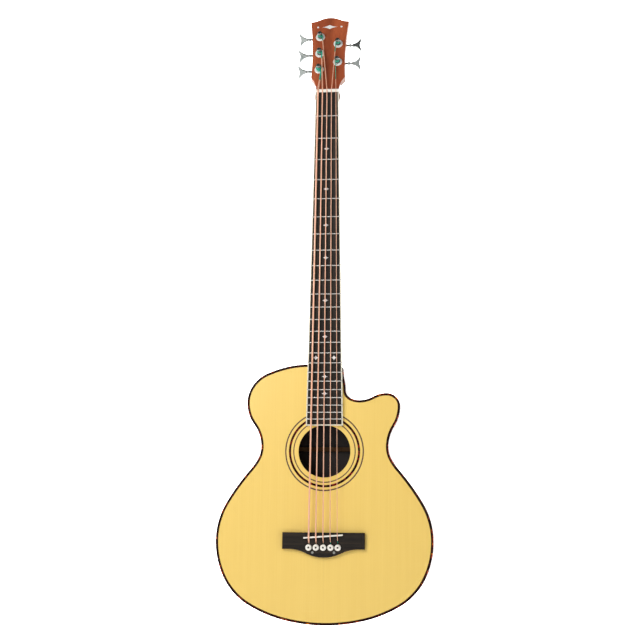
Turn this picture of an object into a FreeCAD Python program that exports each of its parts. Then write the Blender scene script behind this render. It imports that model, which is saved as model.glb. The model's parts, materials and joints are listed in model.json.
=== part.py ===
import FreeCAD, Part
import math
import os

from FreeCAD import Matrix, Vector

# Five-string acoustic bass guitar with a cutaway.
# Frame: X across the strings (treble side +), Y back through the body, Z up the neck.
# Y = 0 is the front face of the soundboard and the underside of the fingerboard.
# The origin is on the centre line, where a wall hanger takes the flare under the headstock.
# "s" is the distance down the strings from the fingerboard end of the nut.

# ---- neck and fingerboard ----------------------------------------------------
NUT_BELOW_HANGER = 19.6
SCALE_LENGTH = 864.0
FRET_COUNT = 24
NECK_HALF_AT_NUT = 23.1
NECK_HALF_AT_END = 35.2
BOARD_BEYOND_LAST_FRET = 12.5
BOARD_THICK = 7.0
BOARD_BINDING = 2.0
NECK_THICK_AT_NUT = 15.5
NECK_THICK_AT_BODY = 19.0
NUT_THICK = 6.0
NUT_LIP = 0.9
FRET_CROWN = 1.2
FRET_TANG = 0.6
FRET_TANG_DEPTH = 1.6
FRET_END_SETBACK = 0.4
MARKER_FRETS = (3, 5, 7, 9, 12, 15, 19, 21)
MARKER_PAIR_FRET = 17
MARKER_PAIR_OFFSET = 17.5
MARKER_HALF_WIDTH = 6.2
MARKER_HALF_HEIGHT = 5.0
MARKER_WAIST = 1.9
INLAY_DEPTH = 1.2

# ---- strings -----------------------------------------------------------------
STRING_DIAMETERS = (3.3, 2.5, 2.0, 1.6, 1.15)
STRING_PITCH_AT_NUT = 8.85
STRING_PITCH_AT_SADDLE = 13.4
STRING_OVER_FRETS_AT_NUT = 0.5
STRING_ACTION = 2.4
STRING_BEND = 3.5
STRING_SLOT_CLEARANCE = 0.15
BALL_RADIUS = 2.6
BALL_LENGTH = 4.0
BALL_OFF_PIN = 0.6

# ---- body --------------------------------------------------------------------
HOLE_BELOW_BODY_TOP = 166.3
BODY_LENGTH = 489.3
LOWER_BOUT_HALF = 205.8
LOWER_BOUT_ABOVE_TAIL = 155.0
LOWER_CORNER_X = 142.0
LOWER_CORNER_ABOVE_TAIL = 35.5
LOWER_CORNER_TURN = 30.0
FLANK_X = 140.5
FLANK_ABOVE_TAIL = 289.4
FLANK_LEAN = 41.0
WAIST_HALF = 121.5
WAIST_ABOVE_TAIL = 331.5
UPPER_BOUT_HALF = 149.9
UPPER_BOUT_BELOW_TOP = 73.6
SHOULDER_X = 112.3
SHOULDER_BELOW_TOP = 17.6
SHOULDER_TURN = 24.0
TOP_FLAT_BASS = 32.0
NECK_CORNER_RADIUS = 12.0
NECK_CORNER_X = 35.5
CUTAWAY_WALL_X = 40.0
CUTAWAY_WALL_BELOW_TOP = 50.1
CUTAWAY_FLOOR_X = 66.2
CUTAWAY_FLOOR_BELOW_TOP = 69.0
HORN_TIP_X = 117.9
HORN_TIP_BELOW_TOP = 55.5
HORN_HALF = 143.9
HORN_SIDE_BELOW_TOP = 80.2
BODY_DEPTH_AT_NECK = 88.0
BODY_DEPTH_AT_TAIL = 108.0
SIDE_THICK = 2.6
TOP_THICK = 3.0
BACK_THICK = 3.0
BINDING_DEPTH = 6.5
PURFLING_WIDTH = 2.2
LINING_WIDTH = 6.0
LINING_DEPTH = 12.0
NECK_BLOCK_HALF = 32.0
NECK_BLOCK_LENGTH = 55.0
TAIL_BLOCK_HALF = 40.0
TAIL_BLOCK_LENGTH = 28.0

# ---- sound hole and rosette ------------------------------------------------------
# the rosette's rings are given by their distances outside the hole's edge
HOLE_RADIUS = 49.6
BOARD_OVER_HOLE = 1.3
ROSETTE_RING = (14.2, 18.4)
ROSETTE_LINES = ((8.0, 10.0), (23.1, 25.6))

# ---- braces ----------------------------------------------------------------------
BRACE_WIDTH = 8.0
BRACE_HEIGHT = 13.0
CROSS_BELOW_HOLE = 31.6
CROSS_HALF_ANGLE = 48.0
UPPER_BRACE_ABOVE_HOLE = 23.2
# (distance above the tail, half length)
TONE_BARS = ((83.8, 105.0), (46.8, 75.0))
BACK_BRACES_BELOW_TOP = (77.5, 157.5, 257.5)
LAST_BACK_BRACE_ABOVE_TAIL = 101.8
BRIDGE_PLATE_HALF = 70.0
BRIDGE_PLATE_MARGIN = 3.0
BRIDGE_PLATE_THICK = 3.0

# ---- bridge ----------------------------------------------------------------------
BRIDGE_HALF = 77.7
BRIDGE_ABOVE_SADDLE = 7.3
BRIDGE_WING_HEIGHT = 30.8
BRIDGE_BELLY_HEIGHT = 46.3
BRIDGE_WING_FLAT_X = 66.0
BRIDGE_THICK = 8.0
BRIDGE_EDGE_RADIUS = 1.5
SADDLE_COMPENSATION = 4.5
SADDLE_HALF = 37.0
SADDLE_WIDTH = 3.0
SADDLE_DEPTH = 4.5
SADDLE_SLANT = -0.077
PINS_BELOW_SADDLE = 20.5
PIN_GAP = 1.75
PIN_HEAD_RADIUS = 6.0
PIN_HEAD_HEIGHT = 4.2
PIN_SHANK_RADIUS = 3.25
PIN_TIP_RADIUS = 2.8
PIN_SHANK_LENGTH = 22.0
PIN_DOT_RADIUS = 1.9
PIN_DOT_DEPTH = 0.6
BRIDGE_DOT_X = 20.3
BRIDGE_DOT_BELOW_PINS = 9.2
BRIDGE_DOT_RADIUS = 2.4

# ---- heel, tenon and truss rod ---------------------------------------------------
# (depth, half width, length up the neck); the depths are drawn for a heel of HEEL_DRAWN_DEPTH
HEEL_DRAWN_DEPTH = 82.0
HEEL_SECTIONS = (
    (8.0, 31.5, 66.0),
    (24.0, 25.5, 40.0),
    (46.0, 19.5, 25.0),
    (66.0, 16.5, 19.0),
    (HEEL_DRAWN_DEPTH, 15.5, 17.0),
)
HEEL_SHORT_OF_BACK = 6.0
HEEL_CAP_THICK = 2.5
TENON_HALF = 11.0
TENON_FRONT = 20.0
TENON_SHORT_OF_BACK = 26.0
TENON_LENGTH = 30.0
ROD_RADIUS = 3.0
ROD_COVER = 0.4
ROD_START_S = 30.0
ROD_NUT_RADIUS = 5.0
ROD_NUT_LENGTH = 15.0
ROD_NUT_GAP = 1.0
ROD_NUT_HEX = 2.5
ROD_NUT_HEX_DEPTH = 5.0

# ---- headstock -------------------------------------------------------------------
HEAD_PITCH = 13.0
HEAD_THICK = 15.0
VENEER_THICK = 1.5
HEAD_FLARE_START = 2.0
HEAD_FLARE_RADIUS = 40.4
HEAD_SHOULDER = (34.0, 30.0)
HEAD_WAIST = (32.8, 78.0)
HEAD_CORNER = (38.8, 162.0)
HEAD_CROWN = 171.8
HEAD_CROWN_RISE = 3.0
HEAD_JOIN = 21.0
BLEND_S = 36.0
BLEND_SHAPES = ((0.2, 2.5), (0.55, 3.2), (0.95, 4.2))
BLEND_OVERLAP = 3.0
BLEND_INSET = 0.5
ORNAMENT_U = 149.5
ORNAMENT_HALF_LENGTH = 17.0
ORNAMENT_HALF_HEIGHT = 5.0
ORNAMENT_WAIST = 3.2
ORNAMENT_DOT_X = 24.0
ORNAMENT_DOT_RADIUS = 2.0
ORNAMENT_DEPTH = 0.8

# ---- tuning machines -------------------------------------------------------------
# (side, distance up the headstock, rest angle of the key, foot of the string's coil)
TUNERS = (
    (-1, 48.5, 52.0, 3.2),
    (-1, 86.5, 55.0, 9.4),
    (-1, 125.5, 50.0, 7.0),
    (1, 108.5, 10.0, 7.0),
    (1, 65.5, 35.0, 6.0),
)
POST_X = 18.2
POST_RADIUS = 5.0
POST_WAIST_RADIUS = 3.5
POST_CAP_TOP_RADIUS = 4.1
POST_HEIGHT = 18.0
POST_CAP_HEIGHT = 5.0
POST_SLOT_WIDTH = 2.2
POST_SLOT_DEPTH = 3.5
POST_FOOT_RADIUS = 4.0
SILK_SHARE = 0.75
COIL_TURNS = (2, 2, 3, 3, 3)
BUSHING_FLANGE_RADIUS = 9.2
BUSHING_FLANGE_THICK = 1.2
BUSHING_SLEEVE_RADIUS = 7.0
BUSHING_SLEEVE_LENGTH = 8.0
POST_BORE_SPARE = 0.6
RUNNING_CLEARANCE = 0.05
PLATE_HALF_WIDTH = 13.0
PLATE_DOWN = 13.0
PLATE_UP = 19.0
PLATE_THICK = 1.2
PLATE_CORNER = 3.0
GEAR_TEETH = 20
GEAR_MODULE = 0.66
GEAR_THICK = 4.0
GEAR_ADDENDUM = 0.25
GEAR_DEDENDUM = 0.6
TOOTH_BASE = 0.8
TOOTH_TIP = 0.45
WORM_ROOT_RADIUS = 2.3
WORM_TIP_RADIUS = 3.3
WORM_PITCH_RADIUS = 2.9
WORM_TURNS = 5
THREAD_BASE = 0.9
THREAD_TIP = 0.45
GEAR_BELOW_PLATE = 3.7
GEAR_SCREW_RADIUS = 3.2
GEAR_SCREW_HEIGHT = 1.8
GEAR_SEAT_RADIUS = 2.5
EAR_INNER = 6.6
EAR_THICK = 3.0
EAR_HALF = 3.6
SHAFT_RADIUS = 2.25
SHAFT_STUB = 1.0
COLLAR_BEYOND_HEAD = 5.0
COLLAR_RADIUS = 3.4
COLLAR_LENGTH = 3.0
KEY_START = 46.0
KEY_END = 63.0
KEY_NECK_HALF = 3.2
KEY_FLARE_HALF = 13.2
KEY_LOBE_RADIUS = 2.2
KEY_END_DIP = 2.2
KEY_HALF_THICK = 2.6
SCREW_RADIUS = 1.2
SCREW_HEAD_RADIUS = 2.2
SCREW_HEAD_HEIGHT = 1.0
SCREW_LENGTH = 9.0
SCREW_INSET = 3.2

# ---- derived sizes ---------------------------------------------------------------
BOARD_LENGTH = SCALE_LENGTH * (1.0 - 2.0 ** (-FRET_COUNT / 12.0)) + BOARD_BEYOND_LAST_FRET
HOLE_S = BOARD_LENGTH - BOARD_OVER_HOLE + HOLE_RADIUS
BODY_TOP_S = HOLE_S - HOLE_BELOW_BODY_TOP
BODY_TAIL_S = BODY_TOP_S + BODY_LENGTH
FRONT_OF_BOARD = -BOARD_THICK
FRET_TOP = FRONT_OF_BOARD - FRET_CROWN
SADDLE_S = SCALE_LENGTH + SADDLE_COMPENSATION
BRIDGE_TOP_S = SADDLE_S - BRIDGE_ABOVE_SADDLE
PIN_S = SADDLE_S + PINS_BELOW_SADDLE
PIN_PITCH = 2.0 * PIN_HEAD_RADIUS + PIN_GAP
PIN_SEAT = -BRIDGE_THICK - RUNNING_CLEARANCE
BRIDGE_DOT_S = PIN_S + BRIDGE_DOT_BELOW_PINS
CROSS_S = HOLE_S + HOLE_RADIUS + CROSS_BELOW_HOLE
UPPER_BRACE_S = HOLE_S - HOLE_RADIUS - UPPER_BRACE_ABOVE_HOLE
HEEL_DEPTH = BODY_DEPTH_AT_NECK - HEEL_SHORT_OF_BACK
TENON_BACK = BODY_DEPTH_AT_NECK - TENON_SHORT_OF_BACK
STRING_AT_NUT_Y = FRET_TOP - STRING_OVER_FRETS_AT_NUT
STRING_AT_SADDLE_Y = FRET_TOP - 2.0 * STRING_ACTION - STRING_OVER_FRETS_AT_NUT
LINING_INSET = SIDE_THICK + LINING_WIDTH
PLATE_INSET = SIDE_THICK + PURFLING_WIDTH
ROD_DEPTH = BINDING_DEPTH + ROD_COVER + ROD_RADIUS
GEAR_PITCH_RADIUS = GEAR_MODULE * GEAR_TEETH / 2.0
WORM_UP = GEAR_PITCH_RADIUS + WORM_PITCH_RADIUS
WORM_PITCH = math.pi * GEAR_MODULE
HEAD_BACK = -HEAD_THICK
PLATE_BACK = HEAD_BACK - PLATE_THICK
GEAR_MIDDLE = PLATE_BACK - GEAR_BELOW_PLATE
MARGIN = 60.0
REACH = 400.0


# ---- small helpers ---------------------------------------------------------------
def z_at(s):
    return -NUT_BELOW_HANGER - s


def neck_half(s):
    return NECK_HALF_AT_NUT + (NECK_HALF_AT_END - NECK_HALF_AT_NUT) * s / BOARD_LENGTH


def fret_s(number):
    return SCALE_LENGTH * (1.0 - 2.0 ** (-number / 12.0))


def back_y(z):
    share = (z_at(BODY_TOP_S) - z) / BODY_LENGTH
    return BODY_DEPTH_AT_NECK + (BODY_DEPTH_AT_TAIL - BODY_DEPTH_AT_NECK) * share


def block(x_range, y_range, z_range):
    size = [high - low for low, high in (x_range, y_range, z_range)]
    corner = Vector(x_range[0], y_range[0], z_range[0])
    return Part.makeBox(size[0], size[1], size[2], corner)


def polygon_face(points):
    return Part.Face(Part.makePolygon(points + [points[0]]))


def bar_across(points, half):
    """Solid of a (y, z) outline, drawn across X from -half to half."""
    face = polygon_face([Vector(-half, y, z) for y, z in points])
    return face.extrude(Vector(2.0 * half, 0, 0))


def fuse_all(shapes):
    whole = shapes[0]
    for shape in shapes[1:]:
        whole = whole.fuse(shape)
    return whole.removeSplitter()


def cut_all(shape, tools):
    for tool in tools:
        shape = shape.cut(tool)
    return shape


def save(name, shape):
    solids = shape.Solids
    kept = solids[0] if len(solids) == 1 else Part.makeCompound(solids)
    kept.exportStep("parts/" + name + ".step")
    print(name, len(solids), "solids", round(kept.Volume, 1), "mm3", kept.isValid())


# ---- outlines made of tangent arcs -----------------------------------------------
def heading(degrees):
    return (math.cos(math.radians(degrees)), math.sin(math.radians(degrees)))


def arc_through(start, direction, end):
    """One arc that leaves start along direction: its middle point and its end heading."""
    chord = (end[0] - start[0], end[1] - start[1])
    length = math.hypot(chord[0], chord[1])
    along = (chord[0] / length, chord[1] / length)
    lean = along[0] * direction[0] + along[1] * direction[1]
    end_direction = (2 * lean * along[0] - direction[0], 2 * lean * along[1] - direction[1])
    cross = along[0] * direction[1] - along[1] * direction[0]
    bulge = length / 2.0 * cross / (1.0 + lean)
    middle = (
        start[0] + chord[0] / 2.0 - along[1] * bulge,
        start[1] + chord[1] / 2.0 + along[0] * bulge,
    )
    return middle, end_direction


def biarc(first, second):
    """Two tangent arcs between two (x, y, heading) stations, as (point, heading) triples."""
    t0 = heading(first[2])
    t1 = heading(second[2])
    v = (second[0] - first[0], second[1] - first[1])
    total = (t0[0] + t1[0], t0[1] + t1[1])
    spread = 2.0 * (1.0 - t0[0] * t1[0] - t0[1] * t1[1])
    square = v[0] ** 2 + v[1] ** 2
    reach = v[0] * total[0] + v[1] * total[1]
    if spread < 1e-9:
        d = square / (2.0 * reach)
    else:
        d = (math.sqrt(reach ** 2 + spread * square) - reach) / spread
    joint = (
        (first[0] + second[0] + d * (t0[0] - t1[0])) / 2.0,
        (first[1] + second[1] + d * (t0[1] - t1[1])) / 2.0,
    )
    middle_a, joint_heading = arc_through(first, t0, joint)
    middle_b, end_heading = arc_through(joint, joint_heading, second)
    start = (first[0], first[1])
    end = (second[0], second[1])
    return ((start, t0, middle_a, joint, joint_heading), (joint, joint_heading, middle_b, end, end_heading))


def middle_heading(direction, end_direction):
    x = direction[0] + end_direction[0]
    y = direction[1] + end_direction[1]
    length = math.hypot(x, y)
    return (x / length, y / length)


def inward(point, direction, inset):
    return (point[0] - direction[1] * inset, point[1] + direction[0] * inset)


def curve_edges(stations, inset, lift):
    """Edges through the stations, moved inwards (left of the heading) by inset."""
    edges = []
    for first, second in zip(stations[:-1], stations[1:]):
        for start, t0, middle, end, t1 in biarc(first, second):
            a = lift(inward(start, t0, inset))
            m = lift(inward(middle, middle_heading(t0, t1), inset))
            b = lift(inward(end, t1, inset))
            bulge = m.distanceToLine(a, b - a)
            if bulge < 1e-4:
                edges.append(Part.LineSegment(a, b).toShape())
            else:
                edges.append(Part.Arc(a, m, b).toShape())
    return edges


# ---- body outline ----------------------------------------------------------------
def body_stations():
    tail = BODY_TAIL_S
    top = BODY_TOP_S
    lower_s = tail - LOWER_BOUT_ABOVE_TAIL
    corner_s = tail - LOWER_CORNER_ABOVE_TAIL
    flank_s = tail - FLANK_ABOVE_TAIL
    waist_s = tail - WAIST_ABOVE_TAIL
    corner_start = NECK_CORNER_X - NECK_CORNER_RADIUS
    return [
        (0.0, tail, 180.0),
        (-LOWER_CORNER_X, corner_s, 180.0 + LOWER_CORNER_TURN),
        (-LOWER_BOUT_HALF, lower_s, 270.0),
        (-FLANK_X, flank_s, 270.0 + FLANK_LEAN),
        (-WAIST_HALF, waist_s, 270.0),
        (-UPPER_BOUT_HALF, top + UPPER_BOUT_BELOW_TOP, 270.0),
        (-SHOULDER_X, top + SHOULDER_BELOW_TOP, 360.0 - SHOULDER_TURN),
        (-TOP_FLAT_BASS, top, 0.0),
        (corner_start, top, 0.0),
        (NECK_CORNER_X, top + NECK_CORNER_RADIUS, 90.0),
        (CUTAWAY_WALL_X, top + CUTAWAY_WALL_BELOW_TOP, 90.0),
        (CUTAWAY_FLOOR_X, top + CUTAWAY_FLOOR_BELOW_TOP, 0.0),
        (HORN_TIP_X, top + HORN_TIP_BELOW_TOP, 0.0),
        (HORN_HALF, top + HORN_SIDE_BELOW_TOP, 90.0),
        (WAIST_HALF, waist_s, 90.0),
        (FLANK_X, flank_s, 90.0 - FLANK_LEAN),
        (LOWER_BOUT_HALF, lower_s, 90.0),
        (LOWER_CORNER_X, corner_s, 180.0 - LOWER_CORNER_TURN),
        (0.0, tail, 180.0),
    ]


def body_prism(inset, y_low, y_high):
    def lift(point):
        return Vector(point[0], y_low, z_at(point[1]))

    wire = Part.Wire(curve_edges(body_stations(), inset, lift))
    return Part.Face(wire).extrude(Vector(0, y_high - y_low, 0))


def rim(outer_inset, inner_inset, y_low, y_high):
    return body_prism(outer_inset, y_low, y_high).cut(body_prism(inner_inset, y_low, y_high))


def behind_front(front, before_back):
    """Everything from Y = front to a plane before_back in front of the sloping back."""
    z_high = z_at(BODY_TOP_S) + MARGIN
    z_low = z_at(BODY_TAIL_S) - MARGIN
    outline = [
        (front, z_high),
        (back_y(z_high) - before_back, z_high),
        (back_y(z_low) - before_back, z_low),
        (front, z_low),
    ]
    return bar_across(outline, REACH)


def back_slab(deep, shallow):
    """Layer that follows the back, from deep to shallow in front of its outer face."""
    z_high = z_at(BODY_TOP_S) + MARGIN
    z_low = z_at(BODY_TAIL_S) - MARGIN
    outline = [
        (back_y(z_high) - deep, z_high),
        (back_y(z_high) - shallow, z_high),
        (back_y(z_low) - shallow, z_low),
        (back_y(z_low) - deep, z_low),
    ]
    return bar_across(outline, REACH)


def body_depth_limit():
    return BODY_DEPTH_AT_TAIL + MARGIN


# ---- body shell ------------------------------------------------------------------
def sound_hole(radius, y_low, y_high):
    return Part.makeCylinder(radius, y_high - y_low, Vector(0, y_low, z_at(HOLE_S)), Vector(0, 1, 0))


def rosette(radii):
    inner, outer = [HOLE_RADIUS + beyond for beyond in radii]
    return sound_hole(outer, 0.0, INLAY_DEPTH).cut(sound_hole(inner, 0.0, INLAY_DEPTH))


def soundboard():
    plate = body_prism(PLATE_INSET, 0.0, TOP_THICK)
    plate = plate.cut(sound_hole(HOLE_RADIUS, 0.0, TOP_THICK))
    rings = [rosette(ROSETTE_RING)] + [rosette(radii) for radii in ROSETTE_LINES]
    return cut_all(plate, rings + pin_bores() + string_bores())


def rod_bore():
    s_end = BODY_TOP_S + SIDE_THICK + NECK_BLOCK_LENGTH + ROD_NUT_GAP + ROD_NUT_LENGTH - ROD_NUT_HEX_DEPTH
    return Part.makeCylinder(
        ROD_RADIUS, s_end - ROD_START_S, Vector(0, ROD_DEPTH, z_at(s_end)), Vector(0, 0, 1)
    )


def sides():
    ring = rim(0.0, SIDE_THICK, BINDING_DEPTH, body_depth_limit())
    ring = ring.common(behind_front(BINDING_DEPTH, BINDING_DEPTH))
    ring = cut_all(ring, [rod_bore(), tenon()])
    z_range = (z_at(BODY_TAIL_S) - MARGIN, z_at(BODY_TOP_S) + MARGIN)
    y_range = (-MARGIN, body_depth_limit())
    bass = ring.common(block((-REACH, 0.0), y_range, z_range))
    treble = ring.common(block((0.0, REACH), y_range, z_range))
    return bass, treble


def top_binding():
    return rim(0.0, SIDE_THICK, 0.0, BINDING_DEPTH)


def top_purfling():
    return rim(SIDE_THICK, PLATE_INSET, 0.0, TOP_THICK)


def back_binding():
    return rim(0.0, SIDE_THICK, 0.0, body_depth_limit()).common(back_slab(BINDING_DEPTH, 0.0))


def back_plate():
    return body_prism(SIDE_THICK, 0.0, body_depth_limit()).common(back_slab(BACK_THICK, 0.0))


def top_lining():
    ring = rim(SIDE_THICK, LINING_INSET, TOP_THICK, TOP_THICK + LINING_DEPTH)
    return ring.cut(rod_bore())


def back_lining():
    ring = rim(SIDE_THICK, LINING_INSET, 0.0, body_depth_limit())
    return ring.common(back_slab(BACK_THICK + LINING_DEPTH, BACK_THICK))


def end_block(half, s_low, s_high, linings):
    core = block((-half, half), (TOP_THICK, body_depth_limit()), (z_at(s_high), z_at(s_low)))
    core = core.common(body_prism(SIDE_THICK, TOP_THICK, body_depth_limit()))
    core = core.common(behind_front(TOP_THICK, BACK_THICK))
    return cut_all(core, linings)


def neck_block(linings):
    s_inside = BODY_TOP_S + SIDE_THICK
    core = end_block(NECK_BLOCK_HALF, s_inside, s_inside + NECK_BLOCK_LENGTH, linings)
    return cut_all(core, [tenon(), rod_bore()])


def tail_block(linings):
    s_inside = BODY_TAIL_S - SIDE_THICK
    return end_block(TAIL_BLOCK_HALF, s_inside - TAIL_BLOCK_LENGTH, s_inside, linings)


# ---- braces ----------------------------------------------------------------------
def top_bar(s_middle, half, width, height):
    z = z_at(s_middle)
    return block((-half, half), (TOP_THICK, TOP_THICK + height), (z - width / 2.0, z + width / 2.0))


def cross_arm(sign):
    bar = block(
        (-BRACE_WIDTH / 2.0, BRACE_WIDTH / 2.0), (TOP_THICK, TOP_THICK + BRACE_HEIGHT), (-REACH, REACH)
    )
    bar.rotate(Vector(0, 0, 0), Vector(0, 1, 0), sign * CROSS_HALF_ANGLE)
    bar.translate(Vector(0, 0, z_at(CROSS_S)))
    return bar


def tone_bar(up, half):
    return top_bar(BODY_TAIL_S - up, half, BRACE_WIDTH, BRACE_HEIGHT)


def top_braces(inner):
    """Two crossed arms, one notched over the other, a bar above the hole and two tone bars."""
    first = cross_arm(1).common(inner)
    second = cross_arm(-1).common(inner)
    upper = top_bar(UPPER_BRACE_S, REACH, BRACE_WIDTH, BRACE_HEIGHT).common(inner)
    first = first.cut(upper)
    second = cut_all(second, [upper, first])
    bars = [tone_bar(up, half).common(inner) for up, half in TONE_BARS]
    bars = [cut_all(bar, [first, second]) for bar in bars]
    bars = [max(bar.Solids, key=lambda solid: solid.Volume) for bar in bars]
    return Part.makeCompound(first.Solids + second.Solids + upper.Solids + bars)


def bridge_plate():
    s_low = BRIDGE_TOP_S - BRIDGE_PLATE_MARGIN
    s_high = BRIDGE_TOP_S + BRIDGE_BELLY_HEIGHT + BRIDGE_PLATE_MARGIN
    y_range = (TOP_THICK, TOP_THICK + BRIDGE_PLATE_THICK)
    plate = block((-BRIDGE_PLATE_HALF, BRIDGE_PLATE_HALF), y_range, (z_at(s_high), z_at(s_low)))
    notches = [cross_arm(1), cross_arm(-1)] + [tone_bar(up, half) for up, half in TONE_BARS]
    return cut_all(plate, pin_bores() + string_bores() + notches)


def back_braces(inner):
    layer = back_slab(BACK_THICK + BRACE_HEIGHT, BACK_THICK)
    bars = []
    places = [BODY_TOP_S + down for down in BACK_BRACES_BELOW_TOP]
    places.append(BODY_TAIL_S - LAST_BACK_BRACE_ABOVE_TAIL)
    for s in places:
        z_range = (z_at(s) - BRACE_WIDTH / 2.0, z_at(s) + BRACE_WIDTH / 2.0)
        bar = block((-REACH, REACH), (0.0, body_depth_limit()), z_range)
        bars += bar.common(layer).common(inner).Solids
    return Part.makeCompound(bars)


# ---- strings ---------------------------------------------------------------------
def bent_path(points, radius):
    """Straight runs joined by tangent arcs of one radius."""
    edges = []
    start = points[0]
    for before, corner, after in zip(points[:-2], points[1:-1], points[2:]):
        towards = (before - corner).normalize()
        away = (after - corner).normalize()
        half_angle = math.acos(max(-1.0, min(1.0, towards.dot(away)))) / 2.0
        set_back = radius / math.tan(half_angle)
        arc_start = corner + towards * set_back
        arc_end = corner + away * set_back
        bisector = (towards + away).normalize()
        centre = corner + bisector * (radius / math.sin(half_angle))
        arc_middle = centre - bisector * radius
        edges.append(Part.LineSegment(start, arc_start).toShape())
        edges.append(Part.Arc(arc_start, arc_middle, arc_end).toShape())
        start = arc_end
    edges.append(Part.LineSegment(start, points[-1]).toShape())
    return Part.Wire(edges)


def tube(points, radius, bend):
    path = bent_path(points, bend)
    direction = (points[1] - points[0]).normalize()
    ring = Part.Wire([Part.makeCircle(radius, points[0], direction)])
    return path.makePipeShell([ring], True, False)


def string_x(number, pitch):
    return (number - 2) * pitch


def string_at_nut(number, s):
    radius = STRING_DIAMETERS[number] / 2.0
    return Vector(string_x(number, STRING_PITCH_AT_NUT), STRING_AT_NUT_Y - radius, z_at(s))


def string_at_saddle(number):
    radius = STRING_DIAMETERS[number] / 2.0
    x = string_x(number, STRING_PITCH_AT_SADDLE)
    return Vector(x, STRING_AT_SADDLE_Y - radius, z_at(SADDLE_S + SADDLE_SLANT * x))


def pin_x(number):
    return string_x(number, PIN_PITCH)


def anchor_s(number):
    radius = STRING_DIAMETERS[number] / 2.0
    return PIN_S - PIN_SHANK_RADIUS - STRING_SLOT_CLEARANCE - radius


def string_anchor(number):
    """The string dips into the bridge beside its pin, then runs back to its ball."""
    radius = STRING_DIAMETERS[number] / 2.0
    under_head = -BRIDGE_THICK + PIN_HEAD_HEIGHT + radius
    z = z_at(anchor_s(number))
    under_plate = TOP_THICK + BRIDGE_PLATE_THICK + BALL_LENGTH / 2.0
    return [Vector(pin_x(number), under_plate, z), Vector(pin_x(number), under_head, z)]


def string_ball(number):
    z = z_at(PIN_S - PIN_SHANK_RADIUS - BALL_OFF_PIN - BALL_RADIUS)
    foot = Vector(pin_x(number), TOP_THICK + BRIDGE_PLATE_THICK, z)
    return Part.makeCylinder(BALL_RADIUS, BALL_LENGTH, foot, Vector(0, 1, 0))


def silk_radius(number):
    return STRING_DIAMETERS[number] * SILK_SHARE / 2.0


def string_route(number):
    side, up, _, coil_foot = TUNERS[number]
    reach = POST_WAIST_RADIUS + silk_radius(number)
    at_post = head_point(side * (POST_X - reach), up, coil_foot + silk_radius(number))
    leave_nut = string_at_nut(number, -NUT_THICK / 2.0)
    return string_anchor(number) + [string_at_saddle(number), leave_nut, at_post]


def string(number):
    wound = tube(string_route(number), STRING_DIAMETERS[number] / 2.0, STRING_BEND)
    side, up, _, coil_foot = TUNERS[number]
    coil_radius = POST_WAIST_RADIUS + 2.0 * silk_radius(number) + RUNNING_CLEARANCE
    height = 2.0 * POST_HEIGHT
    room = Part.makeCylinder(coil_radius, height, Vector(side * POST_X, up, VENEER_THICK), Vector(0, 0, 1))
    wound = wound.cut(head_place(room))
    return wound.fuse(string_ball(number))


def string_bores():
    """Room for each string beside its pin, through bridge, soundboard and bridge plate."""
    bores = []
    for number, diameter in enumerate(STRING_DIAMETERS):
        radius = diameter / 2.0 + STRING_SLOT_CLEARANCE
        start = Vector(pin_x(number), -BRIDGE_THICK, z_at(anchor_s(number)))
        length = BRIDGE_THICK + TOP_THICK + BRIDGE_PLATE_THICK
        bores.append(Part.makeCylinder(radius, length, start, Vector(0, 1, 0)))
    return bores


def string_ramps():
    """Slots in the bridge that let each string run down from the saddle to its pin hole."""
    ramps = []
    for number, diameter in enumerate(STRING_DIAMETERS):
        radius = diameter / 2.0
        low = string_anchor(number)[1]
        high = string_at_saddle(number)
        drift = abs(high.x - low.x)
        spare = radius + STRING_SLOT_CLEARANCE + drift
        slope = (low.y - high.y) / (high.z - low.z)
        drop = (radius + STRING_SLOT_CLEARANCE) * math.sqrt(1.0 + slope ** 2)
        z_open = high.z - (-BRIDGE_THICK - drop - high.y) / slope
        above = -BRIDGE_THICK - MARGIN
        points = [(above, z_open), (-BRIDGE_THICK, z_open), (low.y + drop, low.z), (above, low.z)]
        ramp = bar_across(points, spare)
        ramp.translate(Vector(low.x, 0, 0))
        ramps.append(ramp)
    return ramps


# ---- bridge ----------------------------------------------------------------------
def bridge_outline(half, grow):
    top = BRIDGE_TOP_S
    wing = top + BRIDGE_WING_HEIGHT
    belly = top + BRIDGE_BELLY_HEIGHT

    def lift(point):
        return Vector(point[0], -BRIDGE_THICK, z_at(point[1]))

    corners = [lift((-half, wing)), lift((-half, top)), lift((half, top)), lift((half, wing))]
    corners = [lift((-BRIDGE_WING_FLAT_X, wing))] + corners + [lift((BRIDGE_WING_FLAT_X, wing))]
    edges = [Part.LineSegment(a, b).toShape() for a, b in zip(corners[:-1], corners[1:])]
    flat = BRIDGE_WING_FLAT_X
    belly_stations = [(flat, wing, 180.0), (0.0, belly, 180.0), (-flat, wing, 180.0)]
    return Part.Wire(edges + curve_edges(belly_stations, grow, lift))


def saddle_box(y_low, y_high):
    bar = block((-SADDLE_HALF, SADDLE_HALF), (y_low, y_high), (-SADDLE_WIDTH / 2.0, SADDLE_WIDTH / 2.0))
    bar.rotate(Vector(0, 0, 0), Vector(0, 1, 0), math.degrees(math.atan(SADDLE_SLANT)))
    bar.translate(Vector(0, 0, z_at(SADDLE_S)))
    return bar


def saddle_slot():
    return saddle_box(-BRIDGE_THICK, -BRIDGE_THICK + SADDLE_DEPTH)


def bridge():
    solid = Part.Face(bridge_outline(BRIDGE_HALF, 0.0)).extrude(Vector(0, BRIDGE_THICK, 0))
    front = [edge for edge in solid.Edges if abs(edge.BoundBox.YMax + BRIDGE_THICK) < 1e-6]
    solid = solid.makeFillet(BRIDGE_EDGE_RADIUS, front)
    tools = [saddle_slot()] + pin_bores() + string_bores() + string_ramps() + [bridge_dots()]
    return cut_all(solid, tools)


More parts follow.
